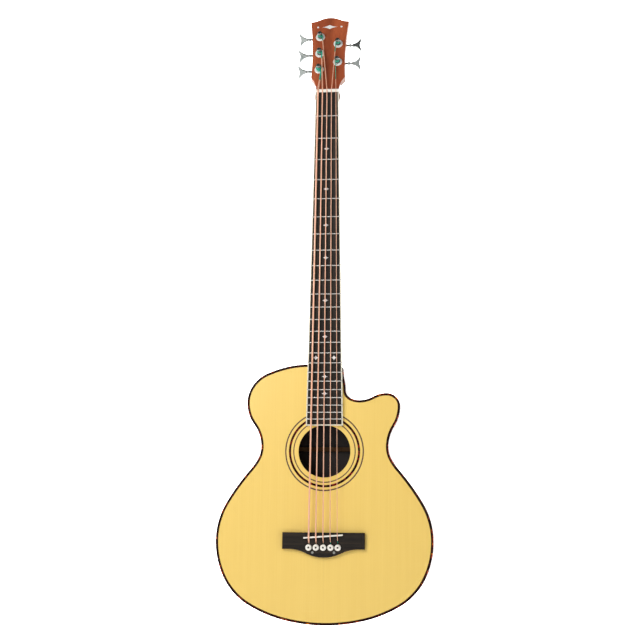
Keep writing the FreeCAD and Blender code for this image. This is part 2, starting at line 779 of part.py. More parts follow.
def saddle():
    """Bone saddle, notched where each string crosses it."""
    bar = saddle_box(STRING_AT_SADDLE_Y, -BRIDGE_THICK + SADDLE_DEPTH)
    crest = [edge for edge in long_edges(bar) if abs(edge.BoundBox.YMax - STRING_AT_SADDLE_Y) < 1e-6]
    bar = bar.makeFillet(SADDLE_WIDTH / 3.0, crest)
    notches = []
    for number, diameter in enumerate(STRING_DIAMETERS):
        notches.append(tube(string_route(number)[1:4], diameter / 2.0, STRING_BEND))
    return cut_all(bar, notches)


def long_edges(shape):
    longest = max(edge.Length for edge in shape.Edges)
    return [edge for edge in shape.Edges if edge.Length > longest / 2.0]


def bridge_dots():
    dots = []
    for side in (-1, 1):
        centre = Vector(side * BRIDGE_DOT_X, -BRIDGE_THICK, z_at(BRIDGE_DOT_S))
        dots.append(Part.makeCylinder(BRIDGE_DOT_RADIUS, INLAY_DEPTH, centre, Vector(0, 1, 0)))
    return Part.makeCompound(dots)


def pin_shank(spare):
    """The pin's tapered shank, grown by a spare width for the bore that takes it."""
    top, tip = PIN_SHANK_RADIUS + spare, PIN_TIP_RADIUS + spare
    return Part.makeCone(top, tip, PIN_SHANK_LENGTH, Vector(0, PIN_SEAT, 0), Vector(0, 1, 0))


def bridge_pin(number):
    crown_y = PIN_SEAT - PIN_HEAD_HEIGHT
    crown_middle = Vector(0, crown_y, 0)
    head = Part.makeCylinder(PIN_HEAD_RADIUS, PIN_HEAD_HEIGHT, crown_middle, Vector(0, 1, 0))
    crown = [edge for edge in head.Edges if abs(edge.BoundBox.YMax - crown_y) < 1e-6]
    head = head.makeFillet(PIN_HEAD_HEIGHT * 0.6, crown)
    dot = Part.makeCylinder(PIN_DOT_RADIUS, PIN_DOT_DEPTH, crown_middle, Vector(0, 1, 0))
    pin = head.fuse(pin_shank(0.0)).cut(dot).removeSplitter()
    pin.translate(Vector(pin_x(number), 0, z_at(PIN_S)))
    return pin


def pin_bores():
    bores = []
    for number in range(len(STRING_DIAMETERS)):
        bore = pin_shank(RUNNING_CLEARANCE)
        bore.translate(Vector(pin_x(number), 0, z_at(PIN_S)))
        bores.append(bore)
    return bores


# ---- fingerboard -----------------------------------------------------------------
def board_solid(trim, y_low, y_high):
    s_end = BOARD_LENGTH - trim
    points = [
        Vector(-neck_half(0.0) + trim, y_low, z_at(0.0)),
        Vector(neck_half(0.0) - trim, y_low, z_at(0.0)),
        Vector(neck_half(s_end) - trim, y_low, z_at(s_end)),
        Vector(-neck_half(s_end) + trim, y_low, z_at(s_end)),
    ]
    return polygon_face(points).extrude(Vector(0, y_high - y_low, 0))


def board_binding():
    return board_solid(0.0, FRONT_OF_BOARD, 0.0).cut(board_solid(BOARD_BINDING, FRONT_OF_BOARD, 0.0))


def fret_tang(number):
    s = fret_s(number)
    half = neck_half(s - FRET_TANG / 2.0) - BOARD_BINDING
    y_range = (FRONT_OF_BOARD, FRONT_OF_BOARD + FRET_TANG_DEPTH)
    return block((-half, half), y_range, (z_at(s) - FRET_TANG / 2.0, z_at(s) + FRET_TANG / 2.0))


def fret(number):
    s = fret_s(number)
    half = neck_half(s) - FRET_END_SETBACK
    crown = Part.makeCylinder(FRET_CROWN, 2.0 * half, Vector(-half, FRONT_OF_BOARD, z_at(s)), Vector(1, 0, 0))
    z_range = (z_at(s) - MARGIN, z_at(s) + MARGIN)
    above = block((-half, half), (FRONT_OF_BOARD - MARGIN, FRONT_OF_BOARD), z_range)
    tang = fret_tang(number)
    return crown.common(above).fuse(tang)


def frets():
    return Part.makeCompound([fret(number) for number in range(1, FRET_COUNT + 1)])


def star(centre, half_width, half_height, waist, depth, out):
    """Four-pointed star with hollow sides, sunk by depth from the surface along -out."""
    across = Vector(1, 0, 0)
    up = across.cross(out).normalize() * -1.0
    tips = [across * half_width, up * half_height, across * -half_width, up * -half_height]
    hollow = [(across + up) * waist, (up - across) * waist, (across + up) * -waist, (across - up) * waist]
    edges = []
    for index in range(4):
        start = centre + tips[index]
        end = centre + tips[(index + 1) % 4]
        edges.append(Part.Arc(start, centre + hollow[index], end).toShape())
    return Part.Face(Part.Wire(edges)).extrude(out * -depth)


def position_markers():
    places = [(0.0, number) for number in MARKER_FRETS]
    places += [(-MARKER_PAIR_OFFSET, MARKER_PAIR_FRET), (MARKER_PAIR_OFFSET, MARKER_PAIR_FRET)]
    stars = []
    for x, number in places:
        s = (fret_s(number - 1) + fret_s(number)) / 2.0
        centre = Vector(x, FRONT_OF_BOARD, z_at(s))
        out = Vector(0, -1, 0)
        stars.append(star(centre, MARKER_HALF_WIDTH, MARKER_HALF_HEIGHT, MARKER_WAIST, INLAY_DEPTH, out))
    return Part.makeCompound(stars)


def fingerboard(markers):
    wood = board_solid(BOARD_BINDING, FRONT_OF_BOARD, 0.0)
    tangs = [fret_tang(number) for number in range(1, FRET_COUNT + 1)]
    return cut_all(wood, tangs + [markers])


def nut():
    half = neck_half(0.0)
    top = STRING_AT_NUT_Y - NUT_LIP
    bone = block((-half, half), (top, 0.0), (z_at(0.0), z_at(-NUT_THICK)))
    crest = [edge for edge in bone.Edges if abs(edge.BoundBox.YMax - top) < 1e-6 and edge.Length > half]
    bone = bone.makeFillet(NUT_LIP, crest)
    slots = []
    for number, diameter in enumerate(STRING_DIAMETERS):
        radius = diameter / 2.0
        route = string_route(number)
        slots.append(tube(route[2:], radius, STRING_BEND))
        x = route[-2].x
        z_range = (z_at(0.0) - MARGIN, z_at(-NUT_THICK) + MARGIN)
        slots.append(block((x - radius, x + radius), (top - MARGIN, route[-2].y), z_range))
    return cut_all(bone, slots)


# ---- neck ------------------------------------------------------------------------
def round_section(half, thick, power, lift):
    """D-shaped wire: flat in front, superellipse behind, with a little spare in front."""
    spare = 3.0
    steps = 16
    curve = []
    for step in range(steps + 1):
        angle = math.pi * step / steps
        cosine = math.cos(angle)
        x = half * math.copysign(abs(cosine) ** (2.0 / power), cosine)
        curve.append(lift(x, thick * math.sin(angle) ** (2.0 / power)))
    spline = Part.BSplineCurve()
    spline.interpolate(curve)
    right = lift(half, -spare)
    left = lift(-half, -spare)
    edges = [
        Part.LineSegment(left, right).toShape(),
        Part.LineSegment(right, curve[0]).toShape(),
        spline.toShape(),
        Part.LineSegment(curve[-1], left).toShape(),
    ]
    return Part.Wire(edges)


def neck_section(s, power):
    share = s / BODY_TOP_S
    thick = NECK_THICK_AT_NUT + (NECK_THICK_AT_BODY - NECK_THICK_AT_NUT) * share
    return round_section(neck_half(s), thick, power, lambda x, y: Vector(x, y, z_at(s)))


def flare_half(u):
    across = NECK_HALF_AT_NUT + HEAD_FLARE_RADIUS
    return across - math.sqrt(HEAD_FLARE_RADIUS ** 2 - max(u - HEAD_FLARE_START, 0.0) ** 2)


def head_section(u, power, inset):
    """Section across the headstock's flare, drawn in by inset where it ends inside the headstock."""
    half = flare_half(min(u, HEAD_JOIN)) - inset
    return round_section(half, HEAD_THICK - inset, power, lambda x, y: head_point(x, u, -y))


def heel_shapes():
    """The heel's sections, with their depths stretched to the depth of this body."""
    stretch = HEEL_DEPTH / HEEL_DRAWN_DEPTH
    return [(depth * stretch, half, length) for depth, half, length in HEEL_SECTIONS]


def heel_section(y, half, length):
    z = z_at(BODY_TOP_S)
    steps = 12
    curve = []
    for step in range(steps + 1):
        angle = math.pi * step / steps
        curve.append(Vector(half * math.cos(angle), y, z + length * math.sin(angle)))
    spline = Part.BSplineCurve()
    spline.interpolate(curve)
    return Part.Wire([spline.toShape(), Part.LineSegment(curve[-1], curve[0]).toShape()])


def tenon():
    s_range = (BODY_TOP_S, BODY_TOP_S + TENON_LENGTH)
    return block((-TENON_HALF, TENON_HALF), (TENON_FRONT, TENON_BACK), (z_at(s_range[1]), z_at(s_range[0])))


def neck():
    shaft = Part.makeLoft([neck_section(BODY_TOP_S, 2.0), neck_section(BLEND_S, 2.0)], True, True)
    blend = [neck_section(BLEND_S, 2.0), neck_section(BLEND_S / 2.0, 2.1)]
    blend += [head_section(HEAD_JOIN * share, power, 0.0) for share, power in BLEND_SHAPES]
    blend.append(head_section(HEAD_JOIN + BLEND_OVERLAP, BLEND_SHAPES[-1][1], BLEND_INSET))
    join = Part.makeLoft(blend, True, False)
    heel = Part.makeLoft([heel_section(*values) for values in heel_shapes()], True, False)
    head = head_place(head_solid(HEAD_BACK, 0.0))
    whole = fuse_all([shaft, heel, join, head, tenon()])
    whole = cut_all(whole, [in_front_of_neck(), rod_bore()])
    return cut_all(whole, [head_place(tool) for tool in post_holes() + screw_shanks()])


def in_front_of_neck():
    """Room in front of the neck's flat face and of the pitched headstock face."""
    bend = head_point(0.0, 0.0, 0.0)
    far = head_point(0.0, HEAD_CROWN + MARGIN, 0.0)
    far_out = head_point(0.0, HEAD_CROWN + MARGIN, MARGIN)
    z_low = z_at(BODY_TOP_S) - MARGIN
    corners = [(point.y, point.z) for point in (bend, far, far_out)]
    return bar_across([(0.0, z_low)] + corners + [(-MARGIN, z_low)], REACH)


def heel_cap():
    return Part.Face(heel_section(*heel_shapes()[-1])).extrude(Vector(0, HEEL_CAP_THICK, 0))


def rod_nut_s():
    return BODY_TOP_S + SIDE_THICK + NECK_BLOCK_LENGTH + ROD_NUT_GAP


def truss_rod_nut():
    foot = Vector(0, ROD_DEPTH, z_at(rod_nut_s() + ROD_NUT_LENGTH))
    barrel = Part.makeCylinder(ROD_NUT_RADIUS, ROD_NUT_LENGTH, foot, Vector(0, 0, 1))
    bore_length = ROD_NUT_LENGTH - ROD_NUT_HEX_DEPTH + RUNNING_CLEARANCE
    bore_foot = Vector(0, ROD_DEPTH, z_at(rod_nut_s() + bore_length))
    bore = Part.makeCylinder(ROD_RADIUS + RUNNING_CLEARANCE, bore_length, bore_foot, Vector(0, 0, 1))
    corners = [
        Vector(ROD_NUT_HEX * math.cos(math.radians(60 * k)), ROD_NUT_HEX * math.sin(math.radians(60 * k)), 0)
        for k in range(6)
    ]
    key = polygon_face([foot + corner for corner in corners]).extrude(Vector(0, 0, ROD_NUT_LENGTH))
    return cut_all(barrel, [bore, key])


# ---- headstock -------------------------------------------------------------------
def head_matrix():
    pitch = math.radians(HEAD_PITCH)
    c = math.cos(pitch)
    s = math.sin(pitch)
    return Matrix(1, 0, 0, 0, 0, s, -c, 0, 0, c, s, z_at(-NUT_THICK), 0, 0, 0, 1)


def head_point(x, u, w):
    """Headstock coordinates: x across, u up the face from the nut, w out of the face."""
    return head_matrix().multVec(Vector(x, u, w))


def head_place(shape):
    return placed(shape, head_matrix())


def placed(shape, matrix):
    moved = shape.copy()
    moved.transformShape(matrix)
    return moved


def head_outline(w):
    def lift(point):
        return Vector(point[0], point[1], w)

    def mirror(point):
        return (-point[0], point[1])

    def right_side():
        flare_end = HEAD_SHOULDER[1] - 1.0
        low = (flare_half(HEAD_JOIN), HEAD_JOIN)
        middle_u = (HEAD_JOIN + flare_end) / 2.0
        return low, (flare_half(middle_u), middle_u), (flare_half(flare_end), flare_end)

    low, middle, high = right_side()
    rise = HEAD_CROWN_RISE
    crown = [
        (HEAD_CORNER[0], HEAD_CORNER[1], 180.0 - rise),
        (0.0, HEAD_CROWN, 180.0),
        (-HEAD_CORNER[0], HEAD_CORNER[1], 180.0 + rise),
    ]
    return Part.Wire(
        [
            Part.LineSegment(lift(mirror(low)), lift(low)).toShape(),
            Part.Arc(lift(low), lift(middle), lift(high)).toShape(),
            Part.LineSegment(lift(high), lift(HEAD_SHOULDER)).toShape(),
            Part.Arc(lift(HEAD_SHOULDER), lift(HEAD_WAIST), lift(HEAD_CORNER)).toShape(),
        ]
        + curve_edges(crown, 0.0, lift)
        + [
            Part.Arc(
                lift(mirror(HEAD_CORNER)), lift(mirror(HEAD_WAIST)), lift(mirror(HEAD_SHOULDER))
            ).toShape(),
            Part.LineSegment(lift(mirror(HEAD_SHOULDER)), lift(mirror(high))).toShape(),
            Part.Arc(lift(mirror(high)), lift(mirror(middle)), lift(mirror(low))).toShape(),
        ]
    )


def head_solid(w_low, w_high):
    return Part.Face(head_outline(w_low)).extrude(Vector(0, 0, w_high - w_low))


def head_veneer():
    upper = head_solid(0.0, VENEER_THICK)
    half = NECK_HALF_AT_NUT
    middle_u = (HEAD_FLARE_START + HEAD_JOIN) / 2.0
    low = Vector(half, 0, 0)
    edges = [
        Part.LineSegment(Vector(-half, 0, 0), low).toShape(),
        Part.LineSegment(low, Vector(half, HEAD_FLARE_START, 0)).toShape(),
        Part.Arc(
            Vector(half, HEAD_FLARE_START, 0),
            Vector(flare_half(middle_u), middle_u, 0),
            Vector(flare_half(HEAD_JOIN), HEAD_JOIN, 0),
        ).toShape(),
        Part.LineSegment(
            Vector(flare_half(HEAD_JOIN), HEAD_JOIN, 0), Vector(-flare_half(HEAD_JOIN), HEAD_JOIN, 0)
        ).toShape(),
        Part.Arc(
            Vector(-flare_half(HEAD_JOIN), HEAD_JOIN, 0),
            Vector(-flare_half(middle_u), middle_u, 0),
            Vector(-half, HEAD_FLARE_START, 0),
        ).toShape(),
        Part.LineSegment(Vector(-half, HEAD_FLARE_START, 0), Vector(-half, 0, 0)).toShape(),
    ]
    lower = Part.Face(Part.Wire(edges)).extrude(Vector(0, 0, VENEER_THICK))
    whole = head_place(fuse_all([upper, lower]))
    z_nut_back = z_at(-NUT_THICK)
    below = block((-REACH, REACH), (-MARGIN, MARGIN), (z_nut_back - MARGIN, z_nut_back))
    tools = [below] + [head_place(tool) for tool in post_holes() + [head_ornament_local()]]
    return cut_all(whole, tools)


def head_ornament_local():
    """A plain lozenge with hollow sides between two dots, let into the veneer."""
    out = Vector(0, 0, 1)
    centre = Vector(0, ORNAMENT_U, VENEER_THICK)
    pieces = [star(centre, ORNAMENT_HALF_LENGTH, ORNAMENT_HALF_HEIGHT, ORNAMENT_WAIST, ORNAMENT_DEPTH, out)]
    for side in (-1, 1):
        foot = Vector(side * ORNAMENT_DOT_X, ORNAMENT_U, VENEER_THICK - ORNAMENT_DEPTH)
        pieces.append(Part.makeCylinder(ORNAMENT_DOT_RADIUS, ORNAMENT_DEPTH, foot, Vector(0, 0, 1)))
    return Part.makeCompound(pieces)


# ---- tuning machines, in headstock coordinates with the post at x = 0, u = 0 ------
def upright(radius, w_low, w_high, x=0.0, u=0.0):
    return Part.makeCylinder(radius, w_high - w_low, Vector(x, u, w_low), Vector(0, 0, 1))


def at_tuner(shape, tuner):
    side, up, _, _ = TUNERS[tuner]
    moved = shape.copy()
    if side < 0:
        moved = moved.mirror(Vector(0, 0, 0), Vector(1, 0, 0))
    moved.translate(Vector(side * POST_X, up, 0))
    return moved


def all_tuners(shape):
    return [at_tuner(shape, tuner) for tuner in range(len(TUNERS))]


def post_hole():
    wide = upright(BUSHING_SLEEVE_RADIUS, VENEER_THICK - BUSHING_SLEEVE_LENGTH, VENEER_THICK)
    narrow = upright(POST_RADIUS + POST_BORE_SPARE, HEAD_BACK - MARGIN, VENEER_THICK)
    return wide.fuse(narrow)


def post_holes():
    return all_tuners(post_hole())


def bushing():
    flange = upright(BUSHING_FLANGE_RADIUS, VENEER_THICK, VENEER_THICK + BUSHING_FLANGE_THICK)
    flange_top = VENEER_THICK + BUSHING_FLANGE_THICK
    rim_edges = [edge for edge in flange.Edges if edge.BoundBox.ZMin > flange_top - 1e-6]
    flange = flange.makeFillet(BUSHING_FLANGE_THICK * 0.6, rim_edges)
    sleeve = upright(BUSHING_SLEEVE_RADIUS, VENEER_THICK - BUSHING_SLEEVE_LENGTH, VENEER_THICK)
    bore = upright(POST_RADIUS + RUNNING_CLEARANCE, -MARGIN, MARGIN)
    return flange.fuse(sleeve).cut(bore).removeSplitter()


def post_core():
    waist_foot = VENEER_THICK + BUSHING_FLANGE_THICK + RUNNING_CLEARANCE
    top = VENEER_THICK + POST_HEIGHT
    cap_foot = top - POST_CAP_HEIGHT
    foot = PLATE_BACK - RUNNING_CLEARANCE
    gear_low = GEAR_MIDDLE - GEAR_THICK / 2.0
    gear_high = foot - (GEAR_BELOW_PLATE - GEAR_THICK / 2.0)
    cap = Part.makeCone(POST_RADIUS, POST_CAP_TOP_RADIUS, POST_CAP_HEIGHT, Vector(0, 0, cap_foot))
    half_slot = POST_SLOT_WIDTH / 2.0
    slot = block((-REACH, REACH), (-half_slot, half_slot), (top - POST_SLOT_DEPTH, top + MARGIN))
    shaft = [
        upright(POST_WAIST_RADIUS, waist_foot - 1.0, cap_foot),
        upright(POST_RADIUS, HEAD_BACK + RUNNING_CLEARANCE, waist_foot),
        upright(POST_FOOT_RADIUS, gear_high + RUNNING_CLEARANCE, HEAD_BACK + 1.0),
        upright(GEAR_SEAT_RADIUS, gear_low, foot),
    ]
    return fuse_all([cap.cut(slot)] + shaft)


def coil(tuner):
    """The wound end of the string, as rings that stay in place when the post turns."""
    foot = TUNERS[tuner][3]
    radius = silk_radius(tuner)
    rings = []
    for turn in range(COIL_TURNS[tuner]):
        centre = Vector(0, 0, foot + radius * (2 * turn + 1))
        rings.append(Part.makeTorus(POST_WAIST_RADIUS + radius, radius, centre, Vector(0, 0, 1)))
    core = upright(POST_WAIST_RADIUS + radius, foot + radius, foot + radius * (2 * COIL_TURNS[tuner] - 1))
    inner = upright(POST_WAIST_RADIUS, -MARGIN, MARGIN)
    return fuse_all([core] + rings).cut(inner)


def tuner_post(tuner):
    return Part.makeCompound(at_tuner(post_core(), tuner).Solids + at_tuner(coil(tuner), tuner).Solids)


def gear():
    low = GEAR_MIDDLE - GEAR_THICK / 2.0
    root = GEAR_PITCH_RADIUS - GEAR_DEDENDUM
    tip = GEAR_PITCH_RADIUS + GEAR_ADDENDUM
    points = []
    for tooth in range(GEAR_TEETH):
        angle = math.pi / 2.0 + 2.0 * math.pi * tooth / GEAR_TEETH
        for radius, half in ((root, -TOOTH_BASE), (tip, -TOOTH_TIP), (tip, TOOTH_TIP), (root, TOOTH_BASE)):
            turn = angle + half / 2.0 / radius
            points.append(Vector(radius * math.cos(turn), radius * math.sin(turn), low))
    wheel = polygon_face(points).extrude(Vector(0, 0, GEAR_THICK))
    wheel = wheel.cut(upright(GEAR_SEAT_RADIUS, low, low + GEAR_THICK))
    head = upright(GEAR_SCREW_RADIUS, low - GEAR_SCREW_HEIGHT, low)
    slot = block((-REACH, REACH), (-0.5, 0.5), (low - GEAR_SCREW_HEIGHT, low - GEAR_SCREW_HEIGHT / 2.0))
    return Part.makeCompound([wheel, head.cut(slot)])


def worm():
    """Single-start right-hand worm along x, with a groove facing the gear at x = 0."""
    height = WORM_TURNS * WORM_PITCH
    helix = Part.makeHelix(WORM_PITCH, height, WORM_ROOT_RADIUS)
    inside = WORM_ROOT_RADIUS - 0.2
    corners = [
        Vector(inside, 0, -THREAD_BASE / 2.0),
        Vector(WORM_TIP_RADIUS, 0, -THREAD_TIP / 2.0),
        Vector(WORM_TIP_RADIUS, 0, THREAD_TIP / 2.0),
        Vector(inside, 0, THREAD_BASE / 2.0),
    ]
    profile = Part.makePolygon(corners + [corners[0]])
    thread = Part.Wire(helix.Edges).makePipeShell([profile], True, True)
    core = Part.makeCylinder(WORM_ROOT_RADIUS, height + THREAD_BASE, Vector(0, 0, -THREAD_BASE / 2.0))
    solid = core.fuse(thread)
    solid.translate(Vector(0, 0, -height / 2.0))
    # worm z -> x, worm x -> towards the gear (-u), worm y -> -w
    return placed(solid, Matrix(0, 0, 1, 0, -1, 0, 0, 0, 0, -1, 0, 0, 0, 0, 0, 1))


def key_button():
    """Fishtail button in the x, t plane of the key's own frame, with its shaft along x."""
    start = KEY_START - POST_X
    end = KEY_END - POST_X
    tip = KEY_FLARE_HALF
    lobe = KEY_LOBE_RADIUS
    stations = [
        (start, KEY_NECK_HALF, 0.0),
        (end - lobe, tip, 60.0),
        (end, tip - lobe, 280.0),
        (end - KEY_END_DIP, 0.0, 270.0),
        (end, -tip + lobe, 260.0),
        (end - lobe, -tip, 120.0),
        (start, -KEY_NECK_HALF, 180.0),
    ]

    def lift(point):
        return Vector(point[0], point[1], -KEY_HALF_THICK)

    edges = curve_edges(stations, 0.0, lift)
    edges.append(Part.LineSegment(lift(stations[-1]), lift(stations[0])).toShape())
    blade = Part.Face(Part.Wire(edges)).extrude(Vector(0, 0, 2.0 * KEY_HALF_THICK))
    faces = [edge for edge in blade.Edges if edge.BoundBox.ZLength < 1e-6]
    return blade.makeFillet(KEY_HALF_THICK * 0.45, faces)


def tuner_key(tuner):
    """Worm, shaft, collar and button, with the shaft's axis along x through the origin."""
    _, up, rest, _ = TUNERS[tuner]
    x_axis = Vector(1, 0, 0)
    inner = -EAR_INNER - EAR_THICK - SHAFT_STUB
    start = KEY_START - POST_X
    shaft = Part.makeCylinder(SHAFT_RADIUS, start + 2.0 - inner, Vector(inner, 0, 0), x_axis)
    collar_x = head_half_at(up + WORM_UP) + COLLAR_BEYOND_HEAD - POST_X
    collar = Part.makeCylinder(COLLAR_RADIUS, COLLAR_LENGTH, Vector(collar_x, 0, 0), x_axis)
    button = key_button()
    button.rotate(Vector(0, 0, 0), x_axis, rest)
    key = fuse_all([worm(), shaft, collar, button])
    key.translate(Vector(0, WORM_UP, GEAR_MIDDLE))
    return at_tuner(key, tuner)


def head_half_at(u):
    share = (u - HEAD_WAIST[1]) / (HEAD_CORNER[1] - HEAD_WAIST[1])
    return HEAD_WAIST[0] + (HEAD_CORNER[0] - HEAD_WAIST[0]) * max(share, 0.0) ** 2


def screw_places():
    x = PLATE_HALF_WIDTH - SCREW_INSET
    ends = (SCREW_INSET - PLATE_DOWN, PLATE_UP - SCREW_INSET)
    return [(side * x, u) for u in ends for side in (-1, 1)]


def tuner_plate():
    plate = block((-PLATE_HALF_WIDTH, PLATE_HALF_WIDTH), (-PLATE_DOWN, PLATE_UP), (PLATE_BACK, HEAD_BACK))
    corners = [edge for edge in plate.Edges if edge.BoundBox.ZLength > PLATE_THICK / 2.0]
    plate = plate.makeFillet(PLATE_CORNER, corners)
    low = GEAR_MIDDLE - EAR_HALF
    ears = []
    for side in (-1, 1):
        x_range = sorted((side * EAR_INNER, side * (EAR_INNER + EAR_THICK)))
        ears.append(block(x_range, (WORM_UP - EAR_HALF, WORM_UP + EAR_HALF), (low, PLATE_BACK)))
    whole = fuse_all([plate] + ears)
    bore_start = Vector(-2.0 * EAR_INNER, WORM_UP, GEAR_MIDDLE)
    bore_radius = SHAFT_RADIUS + RUNNING_CLEARANCE
    shaft_bore = Part.makeCylinder(bore_radius, 4.0 * EAR_INNER, bore_start, Vector(1, 0, 0))
    post_bore = upright(POST_FOOT_RADIUS + RUNNING_CLEARANCE, PLATE_BACK - 1.0, HEAD_BACK + 1.0)
    holes = [upright(SCREW_RADIUS, PLATE_BACK - 1.0, HEAD_BACK + 1.0, x, u) for x, u in screw_places()]
    return cut_all(whole, [shaft_bore, post_bore] + holes)


def screw_shank(x, u):
    return upright(SCREW_RADIUS, PLATE_BACK, PLATE_BACK + SCREW_LENGTH, x, u)


def screw_shanks():
    return [at_tuner(screw_shank(x, u), tuner) for tuner in range(len(TUNERS)) for x, u in screw_places()]


def tuner_screw(x, u):
    head = upright(SCREW_HEAD_RADIUS, PLATE_BACK - SCREW_HEAD_HEIGHT, PLATE_BACK, x, u)
    slot = block(
        (x - SCREW_HEAD_RADIUS, x + SCREW_HEAD_RADIUS), (u - 0.3, u + 0.3),
        (PLATE_BACK - SCREW_HEAD_HEIGHT, PLATE_BACK - SCREW_HEAD_HEIGHT / 2.0),
    )
    return head.cut(slot).fuse(screw_shank(x, u))


def tuner_screws():
    return [at_tuner(tuner_screw(x, u), tuner) for tuner in range(len(TUNERS)) for x, u in screw_places()]


# ---- assembly --------------------------------------------------------------------
def save_body():
    linings = [top_lining(), back_lining()]
    inner = body_prism(LINING_INSET, 0.0, body_depth_limit())
    bass, treble = sides()
    save("soundboard", soundboard())
    save("back_plate", back_plate())
    save("side_bass", bass)
    save("side_treble", treble)
    save("top_lining", linings[0])
    save("back_lining", linings[1])
    save("top_binding", top_binding())
    save("top_purfling", top_purfling())
    save("back_binding", back_binding())
    save("neck_block", neck_block(linings))
    save("tail_block", tail_block(linings))
    save("rosette_ring", rosette(ROSETTE_RING))
    save("rosette_lines", Part.makeCompound([rosette(radii) for radii in ROSETTE_LINES]))
    save("top_braces", top_braces(inner))
    save("bridge_plate", bridge_plate())
    save("back_braces", back_braces(inner))


def save_bridge_and_strings():
    save("bridge", bridge())
    save("saddle", saddle())
    save("bridge_dots", bridge_dots())
    for number in range(len(STRING_DIAMETERS)):
        save("string_%d" % (number + 1), string(number))
        save("bridge_pin_%d" % (number + 1), bridge_pin(number))


def save_neck():
    markers = position_markers()
    save("neck", neck())
    save("heel_cap", heel_cap())
    save("truss_rod", rod_bore())
    save("truss_rod_nut", truss_rod_nut())
    save("fingerboard", fingerboard(markers))
    save("board_binding", board_binding())
    save("position_markers", markers)
    save("frets", frets())
    save("nut", nut())
    save("head_veneer", head_veneer())
    save("head_ornament", head_place(head_ornament_local()))


def save_tuners():
    save("tuner_bushings", Part.makeCompound([head_place(shape) for shape in all_tuners(bushing())]))
    save("tuner_plates", Part.makeCompound([head_place(shape) for shape in all_tuners(tuner_plate())]))
    save("tuner_screws", Part.makeCompound([head_place(shape) for shape in tuner_screws()]))
    for tuner in range(len(TUNERS)):
        save("tuner_post_%d" % (tuner + 1), head_place(tuner_post(tuner)))
        save("tuner_gear_%d" % (tuner + 1), head_place(at_tuner(gear(), tuner)))
        save("tuner_key_%d" % (tuner + 1), head_place(tuner_key(tuner)))


os.makedirs("parts", exist_ok=True)
save_body()
save_bridge_and_strings()
save_neck()
save_tuners()
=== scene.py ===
"""Five-string acoustic bass guitar: finishes, fine pieces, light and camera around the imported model."""

import json
import math

import bpy
from mathutils import Matrix, Vector


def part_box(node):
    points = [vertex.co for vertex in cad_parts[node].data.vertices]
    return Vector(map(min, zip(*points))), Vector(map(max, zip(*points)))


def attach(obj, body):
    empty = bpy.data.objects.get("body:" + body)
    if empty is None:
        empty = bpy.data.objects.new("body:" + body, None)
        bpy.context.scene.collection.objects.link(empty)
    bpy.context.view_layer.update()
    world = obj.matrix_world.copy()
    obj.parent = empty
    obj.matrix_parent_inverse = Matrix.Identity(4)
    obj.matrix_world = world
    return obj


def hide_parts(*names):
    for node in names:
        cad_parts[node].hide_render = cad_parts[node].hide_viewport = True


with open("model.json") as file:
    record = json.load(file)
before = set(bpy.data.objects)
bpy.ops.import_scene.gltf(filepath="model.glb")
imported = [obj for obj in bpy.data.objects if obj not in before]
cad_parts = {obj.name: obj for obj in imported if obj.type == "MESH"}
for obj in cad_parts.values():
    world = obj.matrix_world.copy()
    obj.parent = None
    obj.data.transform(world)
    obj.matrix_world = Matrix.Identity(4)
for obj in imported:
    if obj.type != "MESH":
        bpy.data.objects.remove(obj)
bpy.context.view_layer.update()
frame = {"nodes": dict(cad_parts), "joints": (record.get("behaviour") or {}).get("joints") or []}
nodes = frame["nodes"]
for piece in bpy.context.selected_objects:
    piece.select_set(False)

STRING_NUMBERS = range(1, 6)


# ---- places read from the model ---------------------------------------------------
body_low, body_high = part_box("soundboard")
board_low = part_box("fingerboard")[0]
nut_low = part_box("nut")[0]


# ---- shader maths -----------------------------------------------------------------
class Value:
    """A shader socket that adds a Math node for each sum it takes part in."""

    def __init__(self, finish, socket):
        self.finish = finish
        self.socket = socket

    def maths(self, operation, first, second=0.0):
        return self.finish.add("ShaderNodeMath", {"operation": operation}, {0: first, 1: second})

    def __add__(self, other):
        return self.maths("ADD", self, other)

    def __radd__(self, other):
        return self.maths("ADD", other, self)

    def __sub__(self, other):
        return self.maths("SUBTRACT", self, other)

    def __rsub__(self, other):
        return self.maths("SUBTRACT", other, self)

    def __mul__(self, other):
        return self.maths("MULTIPLY", self, other)

    def __rmul__(self, other):
        return self.maths("MULTIPLY", other, self)

    def __truediv__(self, other):
        return self.maths("DIVIDE", self, other)

    def __rtruediv__(self, other):
        return self.maths("DIVIDE", other, self)

    def __gt__(self, other):
        return self.maths("GREATER_THAN", self, other)

    def __lt__(self, other):
        return self.maths("LESS_THAN", self, other)

    def __abs__(self):
        return self.maths("ABSOLUTE", self)

    def most(self, other):
        return self.maths("MAXIMUM", self, other)

    def sine(self):
        return self.maths("SINE", self)


